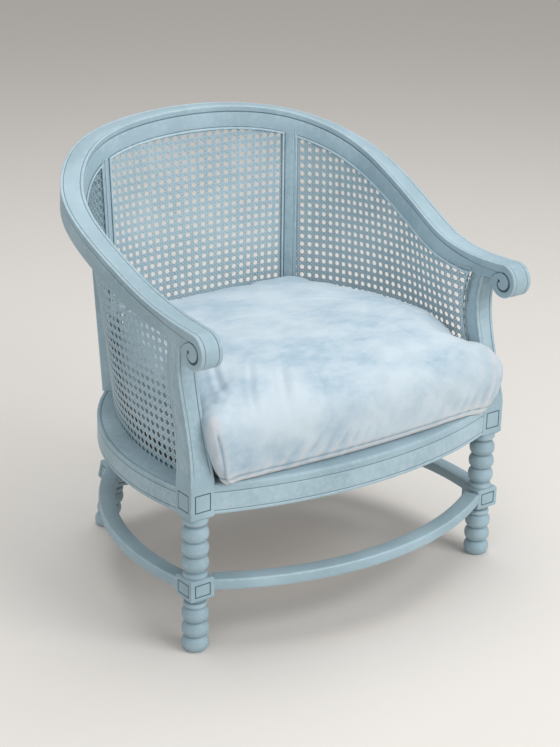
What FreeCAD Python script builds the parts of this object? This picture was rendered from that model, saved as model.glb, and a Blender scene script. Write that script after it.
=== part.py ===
import FreeCAD, Part
import os
from math import acos, asin, atan2, cos, degrees, hypot, radians, sin, sqrt

# A painted tub armchair with a cane back, turned legs, scrolled arms and a loose cushion.
# Millimetres. x runs to the right seen from the front, y to the back and z up from the floor.
# The shapes are worked out from the middle of the line between the front legs, and are written
# out about the middle of the chair's width and depth.

# Front legs and posts
leg_spacing = 588.0
block_side = 43.0
bobbin_count = 3
bobbin_pitch = 25.0
bobbin_radius = 21.5
waist_radius = 15.0
neck_ring_radius = 18.5
neck_height = 17.0
stretcher_block_height = 35.0
upper_neck_height = 10.0
collar_height = 14.5
collar_radius = 20.0
top_block_height = 59.5
panel_inset = 7.0
panel_cut = 1.5
panel_line = 2.5
post_sway = 38.0
post_spread = 5.0
post_narrowing = 10.5
post_head_depth = 28.0
post_tuck = 9.0
# Each row is the share of the post's height, of its sway to the back, of its spread to the
# outside, of its narrowing and of its loss of depth.
post_shares = [
    (0.00, 0.00, 0.00, 0.00, 0.00),
    (0.11, 0.09, 0.00, 0.46, 0.10),
    (0.23, 0.28, 0.00, 0.82, 0.20),
    (0.35, 0.48, 0.00, 0.98, 0.34),
    (0.47, 0.68, 0.02, 1.00, 0.44),
    (0.59, 0.87, 0.08, 0.92, 0.54),
    (0.71, 0.99, 0.25, 0.90, 0.68),
    (0.83, 0.99, 0.56, 0.98, 0.81),
    (0.93, 0.89, 0.82, 1.08, 0.93),
    (1.03, 0.78, 1.00, 1.15, 1.00),
]

# Rear legs
rear_foot_outset = 0.5
rear_foot_splay = 4.0
rear_head_inset = 21.5
rear_head_margin = 39.0
foot_overlap = 3.5

# Top rail and arms
rail_inset = 4.3
rail_reach = 485.2
rail_front = -31.8
rail_arm_height = 532.8
rail_rise = 199.9
rail_width = 36.8
rail_depth = 36.0
rail_lean = 4.5
slab_height = 8.5
rail_groove = 3.0
rail_groove_depth = 2.5
rail_ease = 2.0
rail_taper_share = 0.72
crest_share = 0.2125
crest_section_count = 9
arm_section_count = 10
# Shares of the half width, the reach and the rise along the rail's inner top edge, from the
# middle of the back to the top of the scroll.
rail_x_shares = [0.0, 0.5692, 0.8889, 1.0, 0.9914, 0.9624, 0.9820]
rail_y_shares = [1.0, 0.9656, 0.8322, 0.6760, 0.4604, 0.2706, 0.0]
rail_z_shares = [1.0, 0.9200, 0.7279, 0.4882, 0.2291, 0.0525, 0.0]

# Scrolls
scroll_radius = 28.0
scroll_proud = 0.6
scroll_rim = 8.5
scroll_channel = 4.0
scroll_channel_depth = 2.5
scroll_eye_radius = 4.0
scroll_round = 2.0
scroll_line = 1.2
scroll_line_inset = 3.5

# Seat ring
block_above_seat = 14.0
ring_height = 40.0
ring_width = 58.0
ring_side_overhang = 31.5
ring_back_overhang = 2.6
ring_corner_radius = 72.0
ring_back_radius = 900.0
ring_round = 3.0
ring_line = 1.5
ring_line_inset = 6.0
ring_foot_bead = 4.0

# Front seat rail
front_rail_height = 49.0
front_rail_width = 40.0
front_rail_y = -71.0
front_rail_set_back = 0.5
front_rail_round = 9.0
front_rail_line_drop = 13.0
front_rail_bead_rise = 5.0

# Stretchers
stretcher_width = 27.5
stretcher_height = 18.5
stretcher_drop = 5.5
stretcher_ease = 2.0
front_stretcher_y = -97.5
side_stretcher_overhang = 31.5
side_stretcher_entry = 17.0
back_stretcher_radius = 700.0

# Rear posts
rear_post_set_in = 7.7
rear_post_foot_margin = 48.0
rear_post_width = 20.0
rear_post_depth = 27.0
rear_post_head_depth = 37.0
rear_post_turn = 50.0
rear_post_strip = 15.0
rear_post_strip_height = 2.0
rear_post_tuck = 17.0
rear_post_foot_flare = 1.5
rear_post_foot_height = 5.0

# Cane panels and their splines
cane_thickness = 2.2
side_cane_inset = 10.5
side_cane_front_y = 5.0
side_cane_front_top_y = 30.0
back_cane_margin = 32.0
back_cane_sag = 11.0
cane_set_back = 1.5
cane_tuck = 3.0
cane_section_count = 9
spline_width = 4.5
spline_height = 3.0
spline_gap = 0.2

# The back weave's holes, drawn as a plain coarse grid of square openings
opening_pitch = 35.0
opening_side = 21.0
opening_margin = 6.5

# Shares of the rail's width, reach and rise where the rear posts' heads stand, and shares of the
# seat's depth for the plan arcs of the ring, the stretchers, the side panels and the cushion
rear_post_x_share = 0.6472
rear_post_y_share = 0.9373
rear_post_z_share = 0.7013
ring_arc_share = 0.965
ring_arc_y_share = 0.2522
stretcher_arc_share = 1.0307
stretcher_arc_y_share = 0.2368
cane_arc_share = 1.1513
cane_arc_y_share = 0.2303
cushion_arc_share = 1.1404

# Seat deck
deck_thickness = 9.0
deck_gap = 5.0
deck_clearance = 1.0

# Corner blocks
corner_block_height = 34.0
corner_block_drop = 2.0
front_block_leg = 66.0
rear_block_leg = 78.0
block_tuck = 14.0

# Screws and dowels
screw_radius = 2.2
screw_length = 42.0
screw_bite = 16.0
screw_head_radius = 4.2
screw_head_height = 3.0
screw_gap = 0.1
dowel_gap = 0.1
dowel_end_gap = 0.5
rail_dowel_radius = 4.0
rail_dowel_length = 40.0
rail_dowel_spread = 16.0
ring_dowel_length = 26.0
crest_dowel_radius = 3.5
crest_dowel_length = 44.0
crest_dowel_drop = 15.0
crest_dowel_inset = 10.0
stretcher_dowel_radius = 5.0
stretcher_dowel_length = 32.0
leg_dowel_radius = 7.0
leg_dowel_length = 50.0
post_dowel_radius = 4.5
post_dowel_length = 28.0

# Cushion
cushion_thickness = 158.0
cushion_gap = 0.5
cushion_front_y = -58.0
cushion_corner_y = -34.0
cushion_corner_inset = 50.0
cushion_flare_inset = 11.5
cushion_flare_y = -44.0
cushion_corner_bulge = 9.0
cushion_neck_gap = 22.0
cushion_neck_y = -14.0
cushion_side_overhang = 19.5
cushion_side_margin = 96.0
cushion_rear_inset = 7.5
cushion_rear_margin = 52.0
cushion_rear_bulge = 6.0
cushion_back_bulge = 13.0
cushion_wall = 3.0
cushion_insert_gap = 0.4
cushion_filling_share = 0.95
cushion_pull_share = 0.68
cushion_swell = 22.0
# Each row is the share of the thickness, of the pull towards the middle, of the flare in front
# of the posts and of the front's forward swell.
cushion_shares = [
    (0.000, 0.050, 0.00, 0.00),
    (0.030, 0.024, 0.12, 0.28),
    (0.090, 0.009, 0.38, 0.58),
    (0.190, 0.002, 0.72, 0.85),
    (0.320, 0.000, 0.92, 0.97),
    (0.470, 0.000, 1.00, 1.00),
    (0.620, 0.008, 0.90, 0.96),
    (0.740, 0.028, 0.66, 0.82),
    (0.820, 0.060, 0.42, 0.66),
    (0.880, 0.115, 0.22, 0.50),
    (0.925, 0.215, 0.10, 0.32),
    (0.960, 0.370, 0.02, 0.15),
    (0.985, 0.580, 0.00, 0.04),
    (1.000, 0.880, 0.00, 0.00),
]

# Overruns of shapes that are trimmed, in millimetres and degrees, and the halvings of a search
overrun = 60.0
overrun_angle = 2.0
search_count = 40

leg_x = leg_spacing / 2
half_block = block_side / 2
lower_top = bobbin_count * bobbin_pitch
stretcher_block_base = lower_top + neck_height
stretcher_block_top = stretcher_block_base + stretcher_block_height
upper_base = stretcher_block_top + upper_neck_height
upper_top = upper_base + bobbin_count * bobbin_pitch
top_block_base = upper_top + collar_height
top_block_top = top_block_base + top_block_height
seat_height = top_block_top - block_above_seat
ring_base = seat_height - ring_height
deck_top = seat_height + deck_thickness
stretcher_top = stretcher_block_top - stretcher_drop
stretcher_base = stretcher_top - stretcher_height
stretcher_middle = (stretcher_top + stretcher_base) / 2
scroll_height = rail_arm_height - scroll_radius
back_y = rail_front + rail_reach
middle_y = (back_y + rail_width + front_stretcher_y) / 2
rail_half_width = leg_x - rail_inset

# Places that follow the legs' spacing and the seat's depth
ring_back_y = back_y + ring_back_overhang
ring_side_reach = leg_x + ring_side_overhang
ring_side_radius = ring_back_y * ring_arc_share
ring_side_y = ring_back_y * ring_arc_y_share
side_stretcher_reach = leg_x + side_stretcher_overhang
side_stretcher_radius = ring_back_y * stretcher_arc_share
side_stretcher_y = ring_back_y * stretcher_arc_y_share
side_cane_reach = leg_x - side_cane_inset
side_cane_radius = ring_back_y * cane_arc_share
side_cane_y = ring_back_y * cane_arc_y_share
back_cane_y = ring_back_y - back_cane_margin
back_cane_edge_y = back_cane_y - back_cane_sag
rear_post_foot_y = ring_back_y - rear_post_foot_margin
rear_post_foot_x = side_cane_reach - rear_post_set_in - side_cane_radius + sqrt(
    side_cane_radius ** 2 - (rear_post_foot_y - side_cane_y) ** 2)
rear_post_head_x = rail_half_width * rear_post_x_share
rear_post_head_y = rail_front + rail_reach * rear_post_y_share
rear_post_head_z = rail_arm_height + rail_rise * rear_post_z_share
rear_foot_x = rear_post_foot_x + rear_foot_outset
rear_foot_y = ring_back_y + rear_foot_splay
rear_head_x = rear_post_foot_x - rear_head_inset
rear_head_y = ring_back_y - rear_head_margin
cushion_corner_x = leg_x - cushion_corner_inset
cushion_flare_x = leg_x - cushion_flare_inset
cushion_neck_x = side_cane_reach - cushion_neck_gap
cushion_side_radius = ring_back_y * cushion_arc_share
cushion_side_x = rear_post_foot_x + cushion_side_overhang
cushion_side_y = ring_back_y - cushion_side_margin
cushion_rear_x = rear_post_foot_x - cushion_rear_inset
cushion_rear_y = ring_back_y - cushion_rear_margin


def vec(x, y, z):
    return FreeCAD.Vector(x, y, z)


def edge(start, end, rise, place):
    """A line, or an arc whose middle stands rise to the right of its chord, put in space by place."""
    first, last = place(*start), place(*end)
    if rise == 0:
        return Part.LineSegment(first, last).toShape()
    run = hypot(end[0] - start[0], end[1] - start[1])
    middle_a = (start[0] + end[0]) / 2 + rise * (end[1] - start[1]) / run
    middle_b = (start[1] + end[1]) / 2 - rise * (end[0] - start[0]) / run
    return Part.Arc(first, place(middle_a, middle_b), last).toShape()


def outline(nodes, place):
    """Closed wire through nodes of (a, b, rise), where rise swells the edge that leaves a node."""
    edges = []
    for index, (a, b, rise) in enumerate(nodes):
        following = nodes[(index + 1) % len(nodes)]
        edges.append(edge((a, b), following[:2], rise, place))
    return Part.Wire(edges)


def flat(height):
    """Places plan points at one height."""
    return lambda x, y: vec(x, y, height)


def prism(nodes, base, height):
    """Plan outline carried straight up from base."""
    return Part.Face(outline(nodes, flat(base))).extrude(vec(0, 0, height))


def revolved(nodes, centre_x, centre_y, start_angle, sweep):
    """Section of (radius, height) nodes carried round an upright axis from one plan angle."""
    aim = radians(start_angle)

    def place(radius, height):
        return vec(centre_x + radius * cos(aim), centre_y + radius * sin(aim), height)

    face = Part.Face(outline(nodes, place))
    return face.revolve(vec(centre_x, centre_y, 0), vec(0, 0, 1), sweep)


def rod(start, direction, length, radius):
    return Part.makeCylinder(radius, length, start, direction)


def mirrored(shape):
    return shape.mirror(vec(0, 0, 0), vec(1, 0, 0))


def largest(shape):
    """The main solid of a cut that leaves offcuts."""
    return max(shape.Solids, key=lambda solid: solid.Volume)


def rail_curve():
    """Smooth line through the rail's inner top edge, from -1 at the left scroll to 1 at the right."""
    rows = list(zip(rail_x_shares, rail_y_shares, rail_z_shares))
    half = [
        vec(rail_half_width * x, rail_front + rail_reach * y, rail_arm_height + rail_rise * z)
        for x, y, z in rows
    ]
    points = [vec(-p.x, p.y, p.z) for p in reversed(half[1:])] + half
    count = len(half) - 1
    places = [step / count for step in range(-count, count + 1)]
    curve = Part.BSplineCurve()
    curve.interpolate(Points=points, Parameters=places)
    return curve


rail_line = rail_curve()


def rail_frame(share):
    """Point on the rail's line, the level direction outwards and the direction down its face."""
    point = rail_line.value(share)
    along = rail_line.tangent(share)[0]
    along.normalize()
    out = vec(-along.y, along.x, 0)
    out.normalize()
    down = out.cross(along)
    return point, out, down


def rail_point(share, outwards, downwards):
    point, out, down = rail_frame(share)
    return point + out * outwards + down * downwards


def rail_depth_at(share):
    """The rail thins from its full depth to the scroll's radius along the arm."""
    taper = max(0, (abs(share) - rail_taper_share) / (1 - rail_taper_share))
    return rail_depth - (rail_depth - scroll_radius) * taper


def rail_section(share):
    """Slab on top, a groove under it and a leaning fascia, square to the rail's line."""
    depth = rail_depth_at(share)
    lean = rail_lean * depth / rail_depth
    groove_end = slab_height + rail_groove
    groove_middle = slab_height + rail_groove / 2
    nodes = [
        (rail_ease, 0, 0),
        (0, rail_ease, 0),
        (0, slab_height, 0),
        (rail_groove_depth, groove_middle, 0),
        (0, groove_end, 0),
        (-lean, depth - rail_ease, 0),
        (rail_ease - lean, depth, 0),
        (rail_width - rail_ease, depth, 0),
        (rail_width, depth - rail_ease, 0),
        (rail_width, groove_end, 0),
        (rail_width - rail_groove_depth, groove_middle, 0),
        (rail_width, slab_height, 0),
        (rail_width, rail_ease, 0),
        (rail_width - rail_ease, 0, 0),
    ]
    return outline(nodes, lambda a, b: rail_point(share, a, b))


def rail_length(start, end, count):
    shares = [start + (end - start) * step / (count - 1) for step in range(count)]
    return Part.makeLoft([rail_section(share) for share in shares], True, False)


def scroll_drum(inner_x):
    """Round end of the arm: a rim, a channel and a disc with a dimple on both sides."""
    radius = scroll_radius + scroll_proud
    width = rail_width + 2 * scroll_proud
    disc = radius - scroll_rim - scroll_channel
    half = [
        (0, scroll_channel_depth, 0),
        (scroll_eye_radius, 0, 0),
        (disc, 0, 0),
        (disc + scroll_channel / 2, scroll_channel_depth, 0),
        (disc + scroll_channel, 0, 0),
        (radius - scroll_round, 0, 0),
        (radius, scroll_round, 0),
        (radius, scroll_line_inset, 0),
        (radius - scroll_line, scroll_line_inset + scroll_line, 0),
        (radius, scroll_line_inset + 2 * scroll_line, 0),
    ]
    other = [(r, width - x, 0) for r, x, rise in reversed(half)]
    start = inner_x - scroll_proud
    face = Part.Face(outline(half + other,
                             lambda r, x: vec(start + x, rail_front, scroll_height + r)))
    return face.revolve(vec(0, rail_front, scroll_height), vec(1, 0, 0), 360)


def arm_rail():
    length = rail_length(crest_share, 1, arm_section_count)
    return length.fuse(scroll_drum(rail_half_width * rail_x_shares[-1]))


def bobbins(base):
    """A stack of round beads above a height, without the node that closes it."""
    swell = bobbin_radius - waist_radius
    return [(waist_radius, base + step * bobbin_pitch, swell) for step in range(bobbin_count)]


def turned_leg(top):
    """Bobbin-turned leg with its two square blocks, standing on the origin."""
    nodes = [(0, 0, 0)] + bobbins(0) + [
        (waist_radius, lower_top, 0),
        (neck_ring_radius, lower_top + neck_height / 4, 0),
        (neck_ring_radius, lower_top + neck_height / 2, 0),
        (waist_radius, lower_top + neck_height / 2, 0),
        (collar_radius, stretcher_block_base, 0),
        (collar_radius, stretcher_block_top, 0),
    ] + bobbins(upper_base) + [
        (waist_radius, upper_top, 0),
        (collar_radius, upper_top + collar_height / 2, 0),
        (collar_radius, top, 0),
        (0, top, 0),
    ]
    leg = Part.Face(outline(nodes, lambda r, z: vec(r, 0, z)))
    leg = leg.revolve(vec(0, 0, 0), vec(0, 0, 1), 360)
    corner = vec(-half_block, -half_block, stretcher_block_base)
    lower = Part.makeBox(block_side, block_side, stretcher_block_height, corner)
    corner = vec(-half_block, -half_block, top_block_base)
    upper = Part.makeBox(block_side, block_side, top - top_block_base, corner)
    return leg.fuse([lower, upper])


def incised_frame(width, tall, base):
    """Ring that cuts a framed rectangle into a block's front face."""
    corner = vec(-width / 2, -half_block, base)
    outer = Part.makeBox(width, panel_cut, tall, corner)
    corner = corner + vec(panel_line, 0, panel_line)
    return outer.cut(Part.makeBox(width - 2 * panel_line, panel_cut, tall - 2 * panel_line, corner))


def front_post():
    """Leg, joint blocks and swept arm post cut from one length."""
    leg = turned_leg(top_block_top)
    height = rail_arm_height - scroll_radius - top_block_top
    sections = []
    for level, sway, spread, narrowing, thinning in post_shares:
        half = (block_side - post_narrowing * narrowing) / 2
        centre = post_spread * spread
        front = post_sway * sway - half_block
        back = front + block_side - (block_side - post_head_depth) * thinning
        nodes = [(centre - half, front, 0), (centre + half, front, 0),
                 (centre + half, back, 0), (centre - half, back, 0)]
        sections.append(outline(nodes, flat(top_block_top + (height + post_tuck) * level)))
    post = leg.fuse(Part.makeLoft(sections, True, False))
    width = block_side - 2 * panel_inset
    tall = top_block_height - 4 * panel_inset
    for base, size in ((top_block_base + 2 * panel_inset, tall),
                       (stretcher_block_base + panel_inset,
                        stretcher_block_height - 2 * panel_inset)):
        front_ring = incised_frame(width, size, base)
        outer_ring = front_ring.copy()
        outer_ring.rotate(vec(0, 0, 0), vec(0, 0, 1), 90)
        post = post.cut([front_ring, outer_ring])
    post.translate(vec(leg_x, 0, 0))
    return post


def rear_leg_axis():
    foot = vec(rear_foot_x, rear_foot_y, 0)
    head = vec(rear_head_x, rear_head_y, ring_base)
    axis = head.sub(foot)
    axis.normalize()
    return foot, head, axis


def rear_leg():
    """The same turning, leaning in from its foot and cut level at the floor and under the ring."""
    foot, head, axis = rear_leg_axis()
    leg = turned_leg(ring_base + overrun)
    upright = vec(0, 0, 1)
    leg.rotate(vec(0, 0, 0), upright.cross(axis), degrees(acos(axis.z)))
    leg.translate(foot - axis * foot_overlap)
    side = 4 * overrun
    above = Part.makeBox(side, side, side, vec(foot.x - side / 2, foot.y - side / 2, ring_base))
    below = Part.makeBox(side, side, side, vec(foot.x - side / 2, foot.y - side / 2, -side))
    return largest(leg.cut([above, below]))


def ring_centres():
    """Centres of the side, corner and back arcs, where the corner arc touches both others."""
    side = (ring_side_reach - ring_side_radius, ring_side_y)
    back = (0, ring_back_y - ring_back_radius)
    side_gap = ring_side_radius - ring_corner_radius
    back_gap = ring_back_radius - ring_corner_radius
    span = hypot(back[0] - side[0], back[1] - side[1])
    along = (side_gap ** 2 - back_gap ** 2 + span ** 2) / (2 * span)
    across = sqrt(side_gap ** 2 - along ** 2)
    run = ((back[0] - side[0]) / span, (back[1] - side[1]) / span)
    corner = (side[0] + run[0] * along - run[1] * across,
              side[1] + run[1] * along + run[0] * across)
    return side, corner, back


side_centre, corner_centre, back_centre = ring_centres()
side_joint_angle = degrees(atan2(corner_centre[1] - side_centre[1],
                                 corner_centre[0] - side_centre[0]))
back_joint_angle = degrees(atan2(corner_centre[1] - back_centre[1],
                                 corner_centre[0] - back_centre[0]))


def ring_section(radius):
    """Ledge with a rounded edge and a line, a plain face and a bead along the foot."""
    inner = radius - ring_width
    line_top = radius - ring_line_inset
    return [
        (inner, ring_base, 0),
        (radius, ring_base, 0),
        (radius, ring_base + ring_foot_bead, 0),
        (radius - ring_line, ring_base + ring_foot_bead + ring_line, 0),
        (radius, ring_base + ring_foot_bead + 2 * ring_line, 0),
        (radius, seat_height - ring_round, ring_round * (1 - sqrt(2) / 2)),
        (radius - ring_round, seat_height, 0),
        (line_top, seat_height, 0),
        (line_top - ring_line, seat_height - ring_line, 0),
        (line_top - 2 * ring_line, seat_height, 0),
        (inner, seat_height, 0),
    ]


def side_seat_rail(front_rail):
    start = degrees(asin((half_block - ring_side_y) / ring_side_radius))
    length = revolved(ring_section(ring_side_radius), *side_centre,
                      start - overrun_angle, side_joint_angle - start + overrun_angle)
    before = Part.makeBox(ring_side_reach, overrun, 2 * ring_height,
                          vec(0, half_block - overrun, ring_base - ring_height / 2))
    return largest(length.cut([before, front_rail]))


def back_seat_rail():
    section = ring_section(ring_back_radius)
    back = revolved(section, *back_centre, back_joint_angle, 180 - 2 * back_joint_angle)
    corner = revolved(ring_section(ring_corner_radius), *corner_centre,
                      side_joint_angle, back_joint_angle - side_joint_angle)
    return back.fuse([corner, mirrored(corner)])


def bow_radius(half_chord, rise):
    return (half_chord ** 2 + rise ** 2) / (2 * rise)


front_rail_rise = -half_block + front_rail_set_back - front_rail_y
front_rail_radius = bow_radius(leg_x - half_block, front_rail_rise)
front_rail_centre = front_rail_y + front_rail_radius


def between_blocks(shape, base, height):
    """Trims a bowed rail to the inner faces of the front blocks."""
    reach = leg_x - half_block
    window = Part.makeBox(2 * reach, 4 * overrun, height, vec(-reach, front_stretcher_y - overrun, base))
    return shape.common(window)


def front_seat_rail():
    """Bowed rail with a rounded top edge, a line under it and a bead along its foot."""
    outer = front_rail_radius
    inner = outer - front_rail_width
    line = deck_top - front_rail_line_drop
    bead = ring_base + front_rail_bead_rise
    nodes = [
        (inner, ring_base, 0),
        (outer, ring_base, 0),
        (outer, bead - ring_line, 0),
        (outer - ring_line, bead, 0),
        (outer, bead + ring_line, 0),
        (outer, line - ring_line, 0),
        (outer - ring_line, line, 0),
        (outer, line + ring_line, 0),
        (outer, deck_top - front_rail_round, front_rail_round * (1 - sqrt(2) / 2)),
        (outer - front_rail_round, deck_top, 0),
        (inner, deck_top, 0),
    ]
    half_angle = degrees(asin(leg_x / inner))
    bow = revolved(nodes, 0, front_rail_centre, 270 - half_angle, 2 * half_angle)
    return between_blocks(bow, ring_base - overrun, front_rail_height + 2 * overrun)


def stretcher_section(outer):
    """Flat bar with its four edges eased."""
    inner = outer - stretcher_width
    return [
        (inner + stretcher_ease, stretcher_base, 0),
        (outer - stretcher_ease, stretcher_base, 0),
        (outer, stretcher_base + stretcher_ease, 0),
        (outer, stretcher_top - stretcher_ease, 0),
        (outer - stretcher_ease, stretcher_top, 0),
        (inner + stretcher_ease, stretcher_top, 0),
        (inner, stretcher_top - stretcher_ease, 0),
        (inner, stretcher_base + stretcher_ease, 0),
    ]


front_stretcher_radius = bow_radius(leg_x - half_block, -half_block - front_stretcher_y)
front_stretcher_centre = front_stretcher_y + front_stretcher_radius


def front_stretcher():
    half_angle = degrees(asin(leg_x / (front_stretcher_radius - stretcher_width)))
    bow = revolved(stretcher_section(front_stretcher_radius), 0, front_stretcher_centre,
                   270 - half_angle, 2 * half_angle)
    return between_blocks(bow, stretcher_base - overrun, stretcher_height + 2 * overrun)


def rear_block_centre():
    """Middle of the rear leg's axis at the height of the stretchers."""
    foot, head, axis = rear_leg_axis()
    return foot + axis * (stretcher_middle / axis.z)


side_stretcher_centre = (side_stretcher_reach - side_stretcher_radius, side_stretcher_y)
side_stretcher_line = side_stretcher_radius - stretcher_width / 2


def side_stretcher_angles():
    """Plan angles of the side stretcher's line at the front block and inside the rear block."""
    start = degrees(asin((half_block - side_stretcher_y) / side_stretcher_line))
    corner = rear_block_centre()
    end = degrees(asin((corner.y - half_block - side_stretcher_y) / side_stretcher_line))
    entry = degrees(side_stretcher_entry / side_stretcher_line)
    return start, end + entry


def side_stretcher(leg):
    start, end = side_stretcher_angles()
    bow = revolved(stretcher_section(side_stretcher_radius), *side_stretcher_centre,
                   start - overrun_angle, end - start + overrun_angle)
    before = Part.makeBox(2 * leg_x, overrun, 2 * ring_height,
                          vec(0, half_block - overrun, stretcher_base - ring_height / 2))
    return largest(bow.cut([before, leg]))


def back_stretcher(leg):
    """Bar that bows gently outwards between the rear legs."""
    block = rear_block_centre()
    reach = block.x
    outer = back_stretcher_radius
    centre = block.y + stretcher_width / 2 - sqrt(outer ** 2 - reach ** 2)
    half_angle = degrees(asin(reach / outer))
    bow = revolved(stretcher_section(outer), 0, centre, 90 - half_angle, 2 * half_angle)
    return largest(bow.cut([leg, mirrored(leg)]))


def rear_post_axes():
    """Level directions out through the rear post and along its width towards the front."""
    aim = radians(rear_post_turn)
    return vec(cos(aim), sin(aim), 0), vec(sin(aim), -cos(aim), 0)


def rear_post_section(height, flare):
    """Section with its raised strip; the post deepens towards its head."""
    out, across = rear_post_axes()
    centre = rear_post_line(height)
    share = (height - seat_height) / (rear_post_head_z - seat_height)
    depth = rear_post_depth + (rear_post_head_depth - rear_post_depth) * share
    half = rear_post_width / 2 + flare
    strip = rear_post_strip / 2 + flare
    nodes = [
        (-half, 0, 0),
        (-strip, 0, 0),
        (-strip, -rear_post_strip_height, 0),
        (strip, -rear_post_strip_height, 0),
        (strip, 0, 0),
        (half, 0, 0),
        (half, depth, 0),
        (-half, depth, 0),
    ]
    return outline(nodes, lambda a, b: centre + across * a + out * b)


def rear_post_line(height):
    """Middle of the post's inner face at a height."""
    share = (height - seat_height) / (rear_post_head_z - seat_height)
    return vec(rear_post_foot_x + (rear_post_head_x - rear_post_foot_x) * share,
               rear_post_foot_y + (rear_post_head_y - rear_post_foot_y) * share, height)


def rear_post(rails):
    """Leaning post with a raised strip on its inner face and a slightly flared foot."""
    foot_top = seat_height + rear_post_foot_height
    top = rear_post_head_z + rear_post_tuck
    foot = Part.makeLoft([rear_post_section(seat_height, rear_post_foot_flare),
                          rear_post_section(foot_top, 0)], True, True)
    shaft = Part.makeLoft([rear_post_section(foot_top, 0), rear_post_section(top, 0)], True, True)
    return largest(foot.fuse(shaft).cut(rails))


def side_cane_foot(y):
    """Inner face of the side panel on the ledge, at a depth."""
    centre = side_cane_reach - side_cane_radius
    return centre + sqrt(side_cane_radius ** 2 - (y - side_cane_y) ** 2)


def side_cane(share):
    """Side panel's foot, head and level direction outwards; share runs from front to back."""
    rear = rear_post_line(seat_height)
    y = side_cane_front_y + (rear.y - side_cane_front_y) * share
    slope = (y - side_cane_y) / side_cane_radius
    along = head_share(side_cane_front_top_y) * (1 - share) + crest_share * share
    head = rail_point(along, cane_set_back - rail_lean, rail_depth_at(along) - cane_tuck)
    return vec(side_cane_foot(y), y, seat_height), head, vec(sqrt(1 - slope ** 2), slope, 0)


def head_share(y):
    """Place along the arm's line at a depth, found by halving."""
    low, high = 2 * crest_share, 1
    for step in range(search_count):
        middle = (low + high) / 2
        if rail_line.value(middle).y > y:
            low = middle
        else:
            high = middle
    return low


def back_cane(share):
    """Back panel's foot, head and level direction outwards; share runs from right to left."""
    place = 1 - 2 * share
    foot = vec(rear_post_foot_x * place, back_cane_y - back_cane_sag * place ** 2, seat_height)
    normal = vec(2 * back_cane_sag * place / rear_post_foot_x, 1, 0)
    normal.normalize()
    head = rail_point(crest_share * place, cane_set_back - rail_lean, rail_depth - cane_tuck)
    return foot, head, normal


def cane_point(panel, share, rise):
    foot, head, normal = panel(share)
    return foot + (head - foot) * rise


def strip_section(low, high, normal, near, far):
    """Flat four-sided section between two points and two distances along a direction."""
    corners = [low + normal * near, low + normal * far, high + normal * far, high + normal * near]
    return Part.makePolygon(corners + corners[:1])


def ribbon(panel, shares, rises, near, far):
    """Solid sheet between two rises of a panel and two distances from its inner face."""
    sections = []
    for share, (low, high) in zip(shares, rises):
        foot, head, normal = panel(share)
        reach = head - foot
        sections.append(strip_section(foot + reach * low, foot + reach * high, normal, near, far))
    return Part.makeLoft(sections, True, False)


def spread(start, end, count):
    return [start + (end - start) * step / (count - 1) for step in range(count)]


def cane_panel(panel, trims, ends=None):
    shares = spread(0, 1, cane_section_count)
    sheet = ribbon(panel, shares, [(0, 1)] * cane_section_count, 0, cane_thickness)
    trimmed = largest(sheet.cut(trims))
    return largest(trimmed.cut(cane_openings(panel, ends))) if ends else trimmed


def cane_openings(panel, ends):
    """Square cutters in level rows and even columns, where a whole opening clears the edges."""
    first, last = panel(0)[0], panel(1)[0]
    middle = panel(0.5)[0]
    length = middle.distanceToPoint(first) + last.distanceToPoint(middle)
    columns = int(length / opening_pitch)
    reach = opening_side / 2 + opening_margin
    cutters = []
    for column in range(columns):
        share = (column + 0.5) / columns
        foot, head, normal = panel(share)
        slope = head - foot
        tall = slope.Length
        slope.normalize()
        along = normal.cross(slope)
        along.normalize()
        out = slope.cross(along)
        rows = int((tall - cane_tuck - spline_width) / opening_pitch)
        for row in range(rows):
            centre = foot + slope * ((row + 0.5) * opening_pitch + spline_width)
            low, high = ends(centre)
            if low < reach or high < reach or tall - (centre - foot).Length < reach + cane_tuck:
                continue
            corner = centre - (along + slope) * (opening_side / 2) - out * (2 * cane_thickness)
            sides = (along * opening_side, slope * opening_side)
            points = [corner, corner + sides[0], corner + sides[0] + sides[1], corner + sides[1]]
            face = Part.Face(Part.makePolygon(points + points[:1]))
            cutters.append(face.extrude(out * (5 * cane_thickness)))
    return cutters


def back_ends(point):
    """Distances of a point on the back panel from the beads of both rear posts."""
    out, across = rear_post_axes()
    edge_x = (rear_post_line(seat_height) - across * (rear_post_width / 2)).x - spline_width
    return edge_x - point.x, edge_x + point.x


def cane_spline(panel, trims, end_strips):
    """Beads round the panel's inner face, trimmed by the posts and rails that they meet."""
    shares = spread(0, 1, cane_section_count)
    near, far = -spline_height - spline_gap, -spline_gap
    low_rises, high_rises = [], []
    for share in shares:
        foot, head, normal = panel(share)
        tall = head.distanceToPoint(foot)
        low_rises.append((0, spline_width / tall))
        high_rises.append((1 - (spline_width + cane_tuck) / tall, 1))
    strips = [ribbon(panel, shares, low_rises, near, far),
              ribbon(panel, shares, high_rises, near, far)] + end_strips
    bead = strips[0].fuse(strips[1:])
    return largest(bead.cut(trims))


def upright_strip(panel, places):
    """Bead up a panel's end; places gives the panel shares of its two edges at each rise."""
    near, far = -spline_height - spline_gap, -spline_gap
    sections = []
    for rise, low, high in places:
        normal = panel((low + high) / 2)[2]
        sections.append(strip_section(cane_point(panel, low, rise), cane_point(panel, high, rise),
                                      normal, near, far))
    return Part.makeLoft(sections, True, False)


def post_back_y(height):
    """Rear face of the swept post at a height, from the rows of its table."""
    tall = rail_arm_height - scroll_radius - top_block_top + post_tuck
    level = max(0, (height - top_block_top) / tall)
    rows = [(row[0], post_sway * row[1] - (block_side - post_head_depth) * row[4])
            for row in post_shares]
    for (low, low_y), (high, high_y) in zip(rows, rows[1:]):
        if level <= high:
            return half_block + low_y + (high_y - low_y) * (level - low) / (high - low)
    return half_block + rows[-1][1]


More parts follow.
